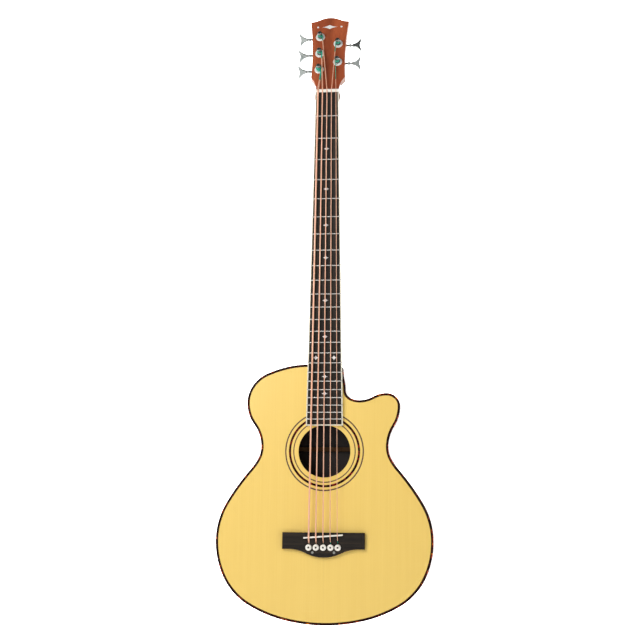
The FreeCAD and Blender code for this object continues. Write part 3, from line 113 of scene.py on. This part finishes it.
class Finish:
    """One material. Numbers that hold all over go straight on the shader's sockets."""

    def __init__(self, name, colour, roughness, **constants):
        self.material = bpy.data.materials.new(name)
        self.material.use_nodes = True
        self.tree = self.material.node_tree
        self.shader = self.tree.nodes["Principled BSDF"]
        self.material.diffuse_color = (*colour, 1.0)
        self.shader.inputs["Base Color"].default_value = (*colour, 1.0)
        self.shader.inputs["Roughness"].default_value = roughness
        for socket, value in constants.items():
            self.shader.inputs[socket.replace("_", " ")].default_value = value

    def add(self, kind, settings, links, out=0):
        """Adds a node: its settings first, then the values or links of its sockets."""
        node = self.tree.nodes.new(kind)
        for name, value in settings.items():
            if name == "stops":
                self.set_stops(node.color_ramp, value)
            else:
                setattr(node, name, value)
        for socket, value in links.items():
            if isinstance(value, Value):
                self.tree.links.new(value.socket, node.inputs[socket])
            else:
                node.inputs[socket].default_value = value
        return Value(self, node.outputs[out])

    def set_stops(self, ramp, stops):
        while len(ramp.elements) < len(stops):
            ramp.elements.new(1.0)
        for element, (place, colour) in zip(ramp.elements, stops):
            element.position = place
            element.color = (*colour, 1.0)

    def place(self):
        return self.add("ShaderNodeTexCoord", {}, {}, "Object")

    def stretched(self, scale):
        return self.add("ShaderNodeMapping", {}, {0: self.place(), "Scale": scale})

    def axis(self, name):
        return self.add("ShaderNodeSeparateXYZ", {}, {0: self.place()}, name)

    def noise(self, vector, scale=1.0, detail=3.0, roughness=0.5, distortion=0.0):
        links = {"Vector": vector, "Scale": scale, "Detail": detail}
        links.update({"Roughness": roughness, "Distortion": distortion})
        return self.add("ShaderNodeTexNoise", {}, links)

    def ramp(self, value, *stops):
        return self.add("ShaderNodeValToRGB", {"stops": stops}, {0: value})

    def remap(self, value, low, high, to_low=0.0, to_high=1.0):
        links = {0: value, 1: low, 2: high, 3: to_low, 4: to_high}
        return self.add("ShaderNodeMapRange", {"clamp": True}, links)

    def mix(self, share, first, second, way="MIX"):
        first = first if isinstance(first, Value) else (*first, 1.0)
        second = second if isinstance(second, Value) else (*second, 1.0)
        settings = {"data_type": "RGBA", "blend_type": way}
        return self.add("ShaderNodeMix", settings, {0: share, 6: first, 7: second}, 2)

    def bump(self, height, distance, strength=1.0):
        links = {"Height": height, "Distance": distance, "Strength": strength}
        self.feed("Normal", self.add("ShaderNodeBump", {}, links))

    def feed(self, socket, value):
        self.tree.links.new(value.socket, self.shader.inputs[socket])


# ---- finishes ---------------------------------------------------------------------
def spruce_finish():
    """Straight pale grain, matched about the centre seam, under a thin clear coat."""
    finish = Finish("spruce", (0.92, 0.62, 0.17), 0.42, Coat_Roughness=0.25, Specular_IOR_Level=0.4)
    across = abs(finish.axis("X"))
    wander = finish.noise(finish.stretched((3.0, 3.0, 2.2)), 2.0, 2.0)
    drift = across + wander * 0.006
    lines = finish.add("ShaderNodeCombineXYZ", {}, {0: drift * 620.0, 2: finish.axis("Z") * 3.0})
    grain = finish.noise(lines, 1.0, 4.0, 0.62)
    wide = finish.add("ShaderNodeCombineXYZ", {}, {0: drift * 55.0, 2: finish.axis("Z") * 1.2})
    bands = finish.noise(wide, 1.0, 3.0, 0.55)
    silk = finish.noise(finish.stretched((18.0, 1.0, 260.0)), 1.0, 2.0, 0.5)
    pale = finish.mix(finish.remap(grain, 0.34, 0.66), (0.90, 0.64, 0.165), (0.865, 0.60, 0.143))
    toned = finish.mix(finish.remap(bands, 0.36, 0.68, 0.0, 0.30), pale, (0.84, 0.57, 0.13))
    flecked = finish.mix(finish.remap(silk, 0.60, 0.75, 0.0, 0.10), toned, (0.96, 0.72, 0.26))
    seam = finish.remap(across, 0.0, 0.0004, 0.30, 0.0)
    finish.feed("Base Color", finish.mix(seam, flecked, (0.50, 0.27, 0.07)))
    finish.feed("Roughness", finish.remap(grain, 0.3, 0.7, 0.38, 0.5))
    finish.feed("Coat Weight", finish.remap(bands, 0.3, 0.7, 0.35, 0.5))
    finish.bump(grain, 0.00004, 0.3)
    return finish.material


LEAST_COATED_GLOSS = 0.15


def brown_wood_finish(name, dark, light, along, gloss, streak=0.0, painted_inside_shade=False):
    """Reddish brown wood with fine open pores along one axis, with painted shade on the inner faces when
    asked.
    """
    finish = Finish(name, light, 0.4, Coat_Roughness=0.2, Specular_IOR_Level=gloss)
    stretch = [420.0, 420.0, 420.0]
    stretch["XYZ".index(along)] = 12.0
    pores = finish.noise(finish.stretched(stretch), 1.0, 3.0, 0.6)
    broad = [26.0, 26.0, 26.0]
    broad["XYZ".index(along)] = 2.0
    figure = finish.noise(finish.stretched(broad), 1.0, 4.0, 0.55, 0.6)
    tone = finish.mix(finish.remap(figure, 0.32, 0.68), dark, light)
    pored = finish.mix(finish.remap(pores, 0.56, 0.72, 0.0, 0.45), tone, [c * 0.4 for c in dark])
    if streak:
        centre = finish.remap(abs(finish.axis("X")) + figure * 0.008, 0.004, 0.016, streak, 0.0)
        pored = finish.mix(centre, pored, [c * 0.55 for c in dark])
    # painted shade: faces turned to the front, into the hollow of the body, get 0.15 times the dark tone,
    # standing in for the shade inside the body
    if painted_inside_shade:
        facing = finish.add("ShaderNodeNewGeometry", {}, {}, "True Normal")
        inward_shade_mask = finish.add("ShaderNodeSeparateXYZ", {}, {0: facing}, "Y") < -0.5
        pored = finish.mix(inward_shade_mask, pored, [c * 0.15 for c in dark])
    finish.feed("Base Color", pored)
    finish.feed("Roughness", finish.remap(pores, 0.4, 0.7, 0.36, 0.5))
    if gloss > LEAST_COATED_GLOSS:
        finish.feed("Coat Weight", finish.remap(figure, 0.3, 0.7, 0.4 * gloss, 0.7 * gloss))
    finish.bump(pores, 0.00004, 0.35)
    return finish.material


# painted shade: the braces, linings, blocks and bridge plate inside the body get a dark brown below their
# wood's own tone, standing in for the shade inside the body
def shaded_inner_wood_finish():
    finish = Finish("inner_wood", (0.12, 0.065, 0.03), 0.8, Specular_IOR_Level=0.1)
    rings = finish.noise(finish.stretched((60.0, 60.0, 60.0)), 1.0, 4.0, 0.6, 0.8)
    fibre = finish.noise(finish.stretched((300.0, 300.0, 30.0)), 1.0, 3.0, 0.6)
    tone = finish.mix(finish.remap(rings, 0.35, 0.65), (0.10, 0.052, 0.024), (0.15, 0.082, 0.038))
    finish.feed("Base Color", finish.mix(finish.remap(fibre, 0.5, 0.75, 0.0, 0.5), tone, (0.06, 0.03, 0.013)))
    finish.feed("Roughness", finish.remap(fibre, 0.3, 0.7, 0.7, 0.9))
    finish.bump(fibre, 0.0001, 0.5)
    return finish.material


def dark_wood_finish(name, along):
    """Oiled near-black hardwood with faint brown streaks and short pores."""
    finish = Finish(name, (0.016, 0.012, 0.009), 0.5, Specular_IOR_Level=0.2)
    fine = [900.0, 900.0, 900.0]
    fine["XYZ".index(along)] = 45.0
    broad = [160.0, 160.0, 160.0]
    broad["XYZ".index(along)] = 5.0
    pores = finish.noise(finish.stretched(fine), 1.0, 2.0, 0.6)
    streaks = finish.noise(finish.stretched(broad), 1.0, 4.0, 0.6, 0.3)
    tone = finish.ramp(
        streaks, (0.30, (0.008, 0.006, 0.005)), (0.52, (0.016, 0.012, 0.009)), (0.75, (0.040, 0.027, 0.018))
    )
    pored = finish.remap(pores, 0.58, 0.70, 0.0, 0.7)
    finish.feed("Base Color", finish.mix(pored, tone, (0.004, 0.004, 0.004)))
    finish.feed("Roughness", finish.remap(pores, 0.35, 0.7, 0.42, 0.62))
    finish.bump(pores, 0.00005, 0.5)
    return finish.material


def tortoise_finish(name, red, amber, shift=0.0):
    """Polished near-black plastic with scattered clouds that go through red to amber."""
    finish = Finish(name, (0.02, 0.006, 0.004), 0.25, Specular_IOR_Level=0.05)
    clouds = finish.noise(finish.stretched((1.0, 1.0, 1.0)), 75.0, 3.0, 0.55, 1.2)
    specks = finish.noise(finish.stretched((1.0, 1.0, 1.0)), 260.0, 2.0, 0.5)
    level = clouds + (specks - 0.5) * 0.2
    colour = finish.ramp(
        level,
        (0.46 + shift, (0.008, 0.003, 0.003)),
        (0.55 + shift, (0.045, 0.006, 0.005)),
        (0.62 + shift, red),
        (0.69 + shift, amber),
    )
    finish.feed("Base Color", colour)
    finish.feed("Roughness", finish.remap(specks, 0.3, 0.7, 0.2, 0.3))
    return finish.material


def plain_finish(name, colour, other, roughness, scale=220.0, bump=0.00003, **constants):
    """A smooth moulded or cut surface with faint clouding and fine tooling marks."""
    finish = Finish(name, colour, roughness, **constants)
    clouds = finish.noise(finish.stretched((1.0, 1.0, 1.0)), scale, 3.0, 0.55)
    finish.feed("Base Color", finish.mix(finish.remap(clouds, 0.35, 0.68), colour, other))
    finish.feed("Roughness", finish.remap(clouds, 0.3, 0.7, roughness * 0.8, roughness * 1.25))
    finish.bump(clouds, bump, 0.5)
    return finish.material


def pearl_finish():
    finish = Finish("pearl", (0.84, 0.86, 0.84), 0.16, Coat_Weight=0.7, Coat_Roughness=0.05)
    flow = finish.noise(finish.stretched((1.0, 1.0, 1.6)), 260.0, 2.0, 0.5, 2.2)
    colour = finish.ramp(
        flow,
        (0.32, (0.70, 0.78, 0.76)),
        (0.48, (0.93, 0.92, 0.89)),
        (0.58, (0.86, 0.80, 0.84)),
        (0.72, (0.95, 0.96, 0.93)),
    )
    finish.feed("Base Color", colour)
    finish.feed("Roughness", finish.remap(flow, 0.3, 0.7, 0.12, 0.22))
    return finish.material


def metal_finish(name, colour, other, roughness, scale=500.0, metallic=1.0):
    """Plated or drawn metal with a faint uneven polish."""
    finish = Finish(name, colour, roughness, Metallic=metallic)
    polish = finish.noise(finish.stretched((1.0, 1.0, 1.0)), scale, 3.0, 0.6)
    smudge = finish.noise(finish.stretched((1.0, 1.0, 1.0)), 90.0, 2.0, 0.5)
    finish.feed("Base Color", finish.mix(finish.remap(smudge, 0.4, 0.7, 0.0, 0.8), colour, other))
    finish.feed("Roughness", finish.remap(polish, 0.3, 0.7, roughness * 0.7, roughness * 1.4))
    finish.bump(polish, 0.00001, 0.3)
    return finish.material


SILK_AT_POST = (0.027, 0.0175, 0.0125, 0.022, 0.043)
SILK_AT_PIN = (0.0012, 0.0012, 0.0018, 0.0040, 0.0065)
WINDING_PITCH = (0.00075, 0.00065, 0.00055, 0.00048, 0.0004)


def string_finish(number):
    """Copper-pink wound wire, with its ends in green silk at the post and at the pin."""
    finish = Finish("string_wire_%d" % number, (0.95, 0.56, 0.42), 0.4, Metallic=0.35)
    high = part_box("string_%d" % number)[1]
    height = finish.axis("Z")
    turns = ((height + finish.axis("X") * 0.2) * (2.0 * math.pi / WINDING_PITCH[number - 1])).sine()
    tarnish = finish.noise(finish.stretched((30.0, 30.0, 14.0)), 1.0, 3.0, 0.6)
    wire = finish.mix(finish.remap(tarnish, 0.35, 0.7), (1.0, 0.60, 0.43), (0.97, 0.52, 0.35))
    # painted shade: the wire colour darkens in the grooves between the windings
    groove_shaded = finish.mix(finish.remap(turns, -1.0, 0.2, 0.30, 0.0), wire, (0.52, 0.20, 0.11))
    pin_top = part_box("bridge_pin_%d" % number)[1].z
    silk = (height > high.z - SILK_AT_POST[number - 1]).most(height < pin_top + SILK_AT_PIN[number - 1])
    fibres = finish.noise(finish.stretched((900.0, 900.0, 300.0)), 1.0, 2.0, 0.6)
    thread = finish.mix(finish.remap(fibres, 0.35, 0.65), (0.01, 0.27, 0.17), (0.04, 0.50, 0.34))
    finish.feed("Base Color", finish.mix(silk, groove_shaded, thread))
    finish.feed("Metallic", 0.35 - silk * 0.35)
    finish.feed("Roughness", silk * 0.35 + finish.remap(tarnish, 0.3, 0.7, 0.34, 0.48))
    finish.bump(turns * 0.5 + fibres * silk, 0.00004, 0.5)
    return finish.material


def silk_finish():
    finish = Finish("silk_wrap", (0.02, 0.38, 0.25), 0.75, Sheen_Weight=0.3, Sheen_Roughness=0.4)
    fibres = finish.noise(finish.stretched((700.0, 700.0, 700.0)), 1.0, 3.0, 0.6)
    tone = finish.ramp(
        fibres, (0.3, (0.004, 0.14, 0.09)), (0.5, (0.015, 0.34, 0.22)), (0.72, (0.10, 0.62, 0.45))
    )
    finish.feed("Base Color", tone)
    finish.feed("Roughness", finish.remap(fibres, 0.3, 0.7, 0.65, 0.85))
    finish.bump(fibres, 0.00012, 0.8)
    return finish.material


WALL_GLOW = 2.4
FLOOR_GLOW = 0.22
GLOW_START = 1.2
GLOW_END = 3.6


def floor_finish():
    """White paper that glows a little more towards the back of the sweep."""
    finish = Finish("studio_floor", (0.85, 0.85, 0.85), 0.85, Emission_Strength=WALL_GLOW)
    dust = finish.noise(finish.stretched((1.0, 1.0, 1.0)), 6.0, 3.0)
    paper = finish.mix(finish.remap(dust, 0.3, 0.7), (0.84, 0.84, 0.84), (0.86, 0.86, 0.86))
    finish.feed("Base Color", paper)
    glow = finish.remap(finish.axis("Y"), GLOW_START, GLOW_END)
    finish.feed("Emission Color", finish.mix(glow, (FLOOR_GLOW / WALL_GLOW,) * 3, (1.0, 1.0, 1.0)))
    return finish.material


def paint(material, *names):
    for name in names:
        slots = nodes[name].data.materials
        slots.clear()
        slots.append(material)


def numbered(name):
    return ["%s_%d" % (name, number) for number in STRING_NUMBERS]


paint(spruce_finish(), "soundboard")
paint(brown_wood_finish("neck_wood", (0.26, 0.082, 0.030), (0.44, 0.160, 0.065), "Z", 0.4), "neck")
# painted shade: the sides get a copy of the back's brown wood at about two thirds of its brightness, standing
# in for the shade on the sides
shaded_side_wood = brown_wood_finish("shaded_side_wood", (0.085, 0.025, 0.011), (0.17, 0.054, 0.022), "Z", 0.5)
paint(shaded_side_wood, "side_bass", "side_treble")
# the back's inner faces carry painted shade for the inside of the body
back_wood = brown_wood_finish(
    "back_wood", (0.12, 0.034, 0.014), (0.26, 0.085, 0.033), "Z", 0.4, painted_inside_shade=True
)
paint(back_wood, "back_plate")
head_face_wood = brown_wood_finish(
    "head_face_wood", (0.28, 0.053, 0.018), (0.47, 0.110, 0.038), "Z", 0.3, streak=0.5
)
paint(head_face_wood, "head_veneer")
inner_wood = shaded_inner_wood_finish()
paint(inner_wood, "top_lining", "back_lining", "neck_block", "tail_block")
paint(inner_wood, "top_braces", "back_braces", "bridge_plate")
paint(dark_wood_finish("board_wood", "Z"), "fingerboard")
paint(dark_wood_finish("bridge_wood", "X"), "bridge")
tortoise = tortoise_finish("tortoise", (0.30, 0.022, 0.008), (0.75, 0.26, 0.02))
paint(tortoise, "top_binding", "back_binding", "heel_cap")
paint(tortoise_finish("rosette_red", (0.10, 0.006, 0.007), (0.30, 0.02, 0.016), -0.04), "rosette_ring")
black_fibre = plain_finish(
    "black_fibre", (0.014, 0.004, 0.002), (0.026, 0.008, 0.004), 0.5, Specular_IOR_Level=0.05
)
paint(black_fibre, "top_purfling")
paint(plain_finish("brown_fibre", (0.085, 0.036, 0.024), (0.055, 0.024, 0.016), 0.5, 400.0), "rosette_lines")
cream = plain_finish("cream_plastic", (0.86, 0.83, 0.70), (0.80, 0.76, 0.62), 0.3, 60.0, Coat_Weight=0.3)
paint(cream, "board_binding")
bone = plain_finish("white_bone", (0.90, 0.88, 0.82), (0.84, 0.81, 0.72), 0.28, 120.0, Coat_Weight=0.3)
paint(bone, "nut", "saddle", *numbered("bridge_pin"))
paint(pearl_finish(), "position_markers", "head_ornament")
paint(plain_finish("grey_pearl", (0.28, 0.29, 0.27), (0.18, 0.19, 0.18), 0.3), "bridge_dots")
paint(metal_finish("fret_silver", (0.86, 0.85, 0.82), (0.76, 0.75, 0.71), 0.2), "frets")
paint(metal_finish("plain_steel", (0.45, 0.45, 0.46), (0.32, 0.31, 0.31), 0.35), "truss_rod", "truss_rod_nut")
chrome = metal_finish("bright_chrome", (0.42, 0.45, 0.44), (0.33, 0.36, 0.35), 0.18)
paint(chrome, "tuner_plates", "tuner_screws", *numbered("tuner_key"), *numbered("tuner_post"))
# painted highlight: the bushings get a near-white, half-metallic copy of the tuner metal, standing in for the
# bright highlight on their flanges
highlit_bushing_metal = metal_finish("highlit_bushing_metal", (0.97, 0.98, 0.97), (0.90, 0.92, 0.91), 0.5, metallic=0.45)
paint(highlit_bushing_metal, "tuner_bushings")
# painted shade: the posts get a darker copy of the tuner chrome, standing in for the shade on them
shaded_post_metal = metal_finish("shaded_post_nickel", (0.30, 0.33, 0.32), (0.22, 0.25, 0.24), 0.22)
paint(metal_finish("gear_brass", (0.70, 0.48, 0.20), (0.55, 0.35, 0.13), 0.25), *numbered("tuner_gear"))
for number in STRING_NUMBERS:
    paint(string_finish(number), "string_%d" % number)


# ---- fine pieces ------------------------------------------------------------------
def keep_only(piece):
    """Leaves one object selected and active, so that operators act on it alone."""
    for other in bpy.context.selected_objects:
        other.select_set(False)
    piece.select_set(True)
    bpy.context.view_layer.objects.active = piece


def turned(name, stations, sides=40):
    """A lathe-turned shape along +Z through (radius, height) stations, closed at both ends."""
    radius, height = stations[0]
    foot = (0.0, 0.0, height)
    bpy.ops.mesh.primitive_circle_add(vertices=sides, radius=radius, fill_type="NGON", location=foot)
    piece = bpy.context.object
    piece.name = name
    bpy.ops.object.transform_apply()
    bpy.ops.object.mode_set(mode="EDIT")
    for next_radius, next_height in stations[1:]:
        rise = (0.0, 0.0, next_height - height)
        bpy.ops.mesh.extrude_region_move(TRANSFORM_OT_translate={"value": rise})
        share = next_radius / radius
        bpy.ops.transform.resize(value=(share, share, 1.0), center_override=(0.0, 0.0, next_height))
        radius, height = next_radius, next_height
    bpy.ops.mesh.select_all(action="SELECT")
    bpy.ops.mesh.normals_make_consistent(inside=False)
    bpy.ops.object.mode_set(mode="OBJECT")
    return piece


def cut_with(piece, cutter):
    """Takes the cutter's volume out of the piece and deletes the cutter."""
    keep_only(piece)
    cut = piece.modifiers.new("cut", "BOOLEAN")
    cut.operation = "DIFFERENCE"
    cut.solver = "EXACT"
    cut.object = cutter
    bpy.ops.object.modifier_apply(modifier=cut.name)
    bpy.data.objects.remove(cutter)


def settle(piece, place, body, material, angle=30.0):
    """Puts the finished mesh in its place and gives it its finish, body and smooth shading."""
    keep_only(piece)
    bpy.ops.object.shade_smooth_by_angle(angle=math.radians(angle))
    piece.data.transform(place)
    piece.data.materials.clear()
    piece.data.materials.append(material)
    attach(piece, body)
    piece.select_set(False)
    return piece


def wire_along(name, points, radius, sides=3):
    """A round wire whose smooth line follows the points, as a mesh."""
    curve = bpy.data.curves.new(name, "CURVE")
    curve.dimensions = "3D"
    curve.bevel_depth = radius
    curve.bevel_resolution = sides
    curve.use_fill_caps = True
    line = curve.splines.new("NURBS")
    line.points.add(len(points) - 1)
    for point, place in zip(line.points, points):
        point.co = (*place, 1.0)
    line.order_u = 4
    line.use_endpoint_u = True
    line.resolution_u = 2
    wire = bpy.data.objects.new(name, curve)
    bpy.context.scene.collection.objects.link(wire)
    keep_only(wire)
    bpy.ops.object.convert(target="MESH")
    return bpy.context.object


joints = {joint["name"]: joint for joint in frame["joints"]}


def post_place(number):
    """The frame of a tuning post: Z out of the head's face, Y up the head, origin on the face plane."""
    joint = joints["post_%d_turn" % number]
    out = Vector(joint["axis"]).normalized()
    right = Vector((1.0, 0.0, 0.0))
    up = out.cross(right)
    place = Matrix((right, up, out)).transposed().to_4x4()
    place.translation = Vector(joint["pos_m"])
    return place


# heights are above the face of the head, except those of the foot and the cap, above their own start
POST_FOOT_PROFILE = ((0.0024, 0.0), (0.0039, 0.0002), (0.0040, 0.0004))
POST_JOURNAL_RADIUS = 0.0040
POST_JOURNAL_TOP = -0.015
POST_SHAFT_FOOT = -0.0148
POST_SHAFT_RADIUS = 0.005
POST_SEAT = 0.0028
POST_WAIST_RADIUS = 0.0035
POST_SHOULDER = 0.0004
POST_CAP_FOOT = 0.0145
POST_CAP_PROFILE = (
    (0.0044, 0.0),
    (0.0048, 0.0004),
    (0.0047, 0.0009),
    (0.0039, 0.0026),
    (0.0035, 0.0036),
    (0.0030, 0.0040),
)
POST_TOP = 0.0185
POST_SLOT_LENGTH = 0.02
POST_SLOT_WIDTH = 0.0022
POST_SLOT_DEPTH = 0.0035
COIL_FOOT = (0.0032, 0.0094, 0.007, 0.007, 0.006)
COIL_TURNS = (4, 2, 4, 6, 8)
SILK_RADIUS = (0.00124, 0.00094, 0.00075, 0.0006, 0.00043)
COIL_STEPS = 20
COIL_TUCK = 0.35
COIL_TUCK_REACH = 0.55


def tuning_post(number):
    """The turned post with its waist, tapered cap and string slot."""
    joint = joints["post_%d_turn" % number]
    gear_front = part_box("tuner_gear_%d" % number)[0].y
    foot = -(gear_front - joint["pos_m"][1]) / abs(joint["axis"][1])
    stations = [(radius, foot + height) for radius, height in POST_FOOT_PROFILE]
    stations += [(POST_JOURNAL_RADIUS, POST_JOURNAL_TOP), (POST_SHAFT_RADIUS, POST_SHAFT_FOOT)]
    stations += [(POST_SHAFT_RADIUS, POST_SEAT), (POST_WAIST_RADIUS, POST_SEAT + POST_SHOULDER)]
    stations += [(POST_WAIST_RADIUS, POST_CAP_FOOT - POST_SHOULDER)]
    stations += [(radius, POST_CAP_FOOT + height) for radius, height in POST_CAP_PROFILE]
    post = turned("post_turned_%d" % number, stations)
    slot = (POST_SLOT_LENGTH, POST_SLOT_WIDTH, 2.0 * POST_SLOT_DEPTH)
    bpy.ops.mesh.primitive_cube_add(size=1.0, location=(0.0, 0.0, POST_TOP), scale=slot)
    cut_with(post, bpy.context.object)
    settle(post, post_place(number), "post_%d" % number, shaded_post_metal)
    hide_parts("tuner_post_%d" % number)


def silk_coil(number):
    """The string's silk end, lying in flat turns on the post's waist and tucked into it at the end."""
    side = -1.0 if joints["post_%d_turn" % number]["pos_m"][0] < 0.0 else 1.0
    radius = SILK_RADIUS[number - 1]
    turns = COIL_TURNS[number - 1]
    points = []
    for step in range(turns * COIL_STEPS + 1):
        turn = step / COIL_STEPS
        angle = 2.0 * math.pi * turn
        tuck = max(0.0, turn - turns + COIL_TUCK) / COIL_TUCK
        reach = (POST_WAIST_RADIUS + radius) * (1.0 - COIL_TUCK_REACH * tuck)
        height = COIL_FOOT[number - 1] + radius * (1.0 + 2.0 * max(0.0, turn - 1.0))
        points.append((-side * reach * math.cos(angle), reach * math.sin(angle), height))
    coil = wire_along("silk_coil_%d" % number, points, radius)
    settle(coil, post_place(number), "post_%d" % number, silk, 60.0)


PIN_DOT_RADIUS = 0.00185
PIN_DOT_PROFILE = ((1.0, 0.0), (1.0, 0.00028), (0.86, 0.00048), (0.5, 0.00062), (0.12, 0.00066))
PIN_RECESS = 0.0006


def pin_dot(number):
    """The dark button let into a bridge pin's head."""
    low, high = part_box("bridge_pin_%d" % number)
    stations = [(PIN_DOT_RADIUS * share, height) for share, height in PIN_DOT_PROFILE]
    dot = turned("pin_dot_%d" % number, stations, 32)
    place = Matrix.Rotation(math.radians(90.0), 4, "X")
    place.translation = ((low.x + high.x) / 2.0, low.y + PIN_RECESS, (low.z + high.z) / 2.0)
    settle(dot, place, "pin_%d" % number, dot_finish)


SCALE_LENGTH = 0.864
DOT_FRETS = (3, 5, 7, 9, 12, 15, 17, 19, 21, 24)
SIDE_DOT_RADIUS = 0.0012
SIDE_DOT_PROUD = 0.00012
SIDE_DOT_DEPTH = 0.0008
SIDE_DOT_PROFILE = (
    (SIDE_DOT_RADIUS, -SIDE_DOT_DEPTH),
    (SIDE_DOT_RADIUS, 0.0),
    (SIDE_DOT_RADIUS * 0.8, SIDE_DOT_PROUD),
)
SIDE_DOT_SIDES = 20
PAIRED_FRETS = (12, 24)
PAIR_SHIFTS = (-0.004, 0.004)


def fret_z(fret):
    return nut_low.z - SCALE_LENGTH * (1.0 - 0.5 ** (fret / 12.0))


def side_dots():
    """Small dark position dots along the bass edge of the fingerboard binding."""
    low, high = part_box("board_binding")
    edges = [vertex.co for vertex in nodes["board_binding"].data.vertices]
    top_half = min(abs(point.x) for point in edges if point.z > high.z - 0.001 and point.x < 0.0)
    bottom_half = -low.x
    dots = []
    for fret in DOT_FRETS:
        z = (fret_z(fret - 1) + fret_z(fret)) / 2.0
        if z < board_low.z:
            continue
        for shift in PAIR_SHIFTS if fret in PAIRED_FRETS else (0.0,):
            share = (high.z - z - shift) / (high.z - low.z)
            x = -(top_half + (bottom_half - top_half) * share)
            dot = turned("side_dot", SIDE_DOT_PROFILE, SIDE_DOT_SIDES)
            place = Matrix.Rotation(math.radians(-90.0), 4, "Y")
            place.translation = (x, (low.y + high.y) / 2.0, z + shift)
            dot.data.transform(place)
            dots.append(dot)
    keep_only(dots[0])
    for dot in dots:
        dot.select_set(True)
    bpy.ops.object.join()
    joined = bpy.context.object
    joined.name = "side_dots"
    settle(joined, Matrix.Identity(4), "instrument", dot_finish)


silk = silk_finish()
dot_finish = plain_finish("dark_dot", (0.022, 0.013, 0.009), (0.05, 0.03, 0.02), 0.3, 900.0)
for number in STRING_NUMBERS:
    tuning_post(number)
    silk_coil(number)
    pin_dot(number)
side_dots()


# ---- studio -----------------------------------------------------------------------
CAMERA_PLACE = (0.2676, -2.4605, -0.8860)
CAMERA_TURN = (99.406, -0.526, 6.368)
SENSOR_WIDTH = 36.0
FOCAL_LENGTH = 73.125
FLOOR_DROP = 0.30
FLOOR_HALF_WIDTH = 14.0
FLOOR_FRONT = -14.0
COVE_START = 3.0
COVE_RADIUS = 3.0
COVE_STEPS = 16
WALL_TOP = 9.0
WORLD_STRENGTH = 0.17
KEY_PLACE = (-0.75, -1.35, 0.0)
KEY_AIM = Vector((-0.08, 0.0, 0.2))
KEY_SIZE = (0.8, 0.9)
KEY_POWER = 18.5
KEY_COLOUR = (1.0, 0.97, 0.93)
FILL_PLACE = (2.2, -1.6, -0.3)
FILL_SIZE = (0.8, 2.0)
FILL_POWER = 8.0
FILL_COLOUR = (0.95, 0.98, 1.0)


def add_camera():
    camera = bpy.data.objects.new("camera", bpy.data.cameras.new("camera"))
    bpy.context.scene.collection.objects.link(camera)
    camera.location = CAMERA_PLACE
    camera.rotation_euler = [math.radians(angle) for angle in CAMERA_TURN]
    camera.data.sensor_width = SENSOR_WIDTH
    camera.data.lens = FOCAL_LENGTH
    camera.data.clip_end = 200.0
    bpy.context.scene.camera = camera


def add_area_light(name, place, target, size, power, colour):
    light = bpy.data.lights.new(name, "AREA")
    light.shape = "RECTANGLE"
    light.size, light.size_y = size
    light.energy = power
    light.color = colour
    lamp = bpy.data.objects.new(name, light)
    bpy.context.scene.collection.objects.link(lamp)
    lamp.location = place
    lamp.rotation_euler = (Vector(target) - Vector(place)).to_track_quat("-Z", "Y").to_euler()


def add_world():
    world = bpy.data.worlds.new("studio")
    world.use_nodes = True
    tree = world.node_tree
    background = tree.nodes["Background"]
    background.inputs["Color"].default_value = (1.0, 1.0, 1.0, 1.0)
    seen = tree.nodes.new("ShaderNodeLightPath").outputs["Is Camera Ray"]
    strength = tree.nodes.new("ShaderNodeMapRange")
    strength.inputs["To Min"].default_value = WORLD_STRENGTH
    tree.links.new(seen, strength.inputs["Value"])
    tree.links.new(strength.outputs["Result"], background.inputs["Strength"])
    bpy.context.scene.world = world


def add_floor():
    """A white paper sweep: flat under the instrument, then curving up behind it."""
    floor_z = body_low.z - FLOOR_DROP
    profile = [(FLOOR_FRONT, floor_z)]
    for step in range(COVE_STEPS + 1):
        angle = math.pi / 2.0 * step / COVE_STEPS
        along = COVE_START + COVE_RADIUS * math.sin(angle)
        profile.append((along, floor_z + COVE_RADIUS * (1.0 - math.cos(angle))))
    profile.append((COVE_START + COVE_RADIUS, WALL_TOP))
    mesh = bpy.data.meshes.new("studio_floor")
    corners = [(x, y, z) for y, z in profile for x in (-FLOOR_HALF_WIDTH, FLOOR_HALF_WIDTH)]
    faces = [(2 * row, 2 * row + 1, 2 * row + 3, 2 * row + 2) for row in range(len(profile) - 1)]
    mesh.from_pydata(corners, [], faces)
    floor = bpy.data.objects.new("studio_floor", mesh)
    bpy.context.scene.collection.objects.link(floor)
    mesh.shade_smooth()
    mesh.materials.append(floor_finish())


body_middle = (body_low + body_high) / 2.0
add_camera()
add_world()
add_floor()
add_area_light("key", KEY_PLACE, body_middle + KEY_AIM, KEY_SIZE, KEY_POWER, KEY_COLOUR)
add_area_light("fill", FILL_PLACE, body_middle, FILL_SIZE, FILL_POWER, FILL_COLOUR)
bpy.context.scene.view_settings.view_transform = "Standard"
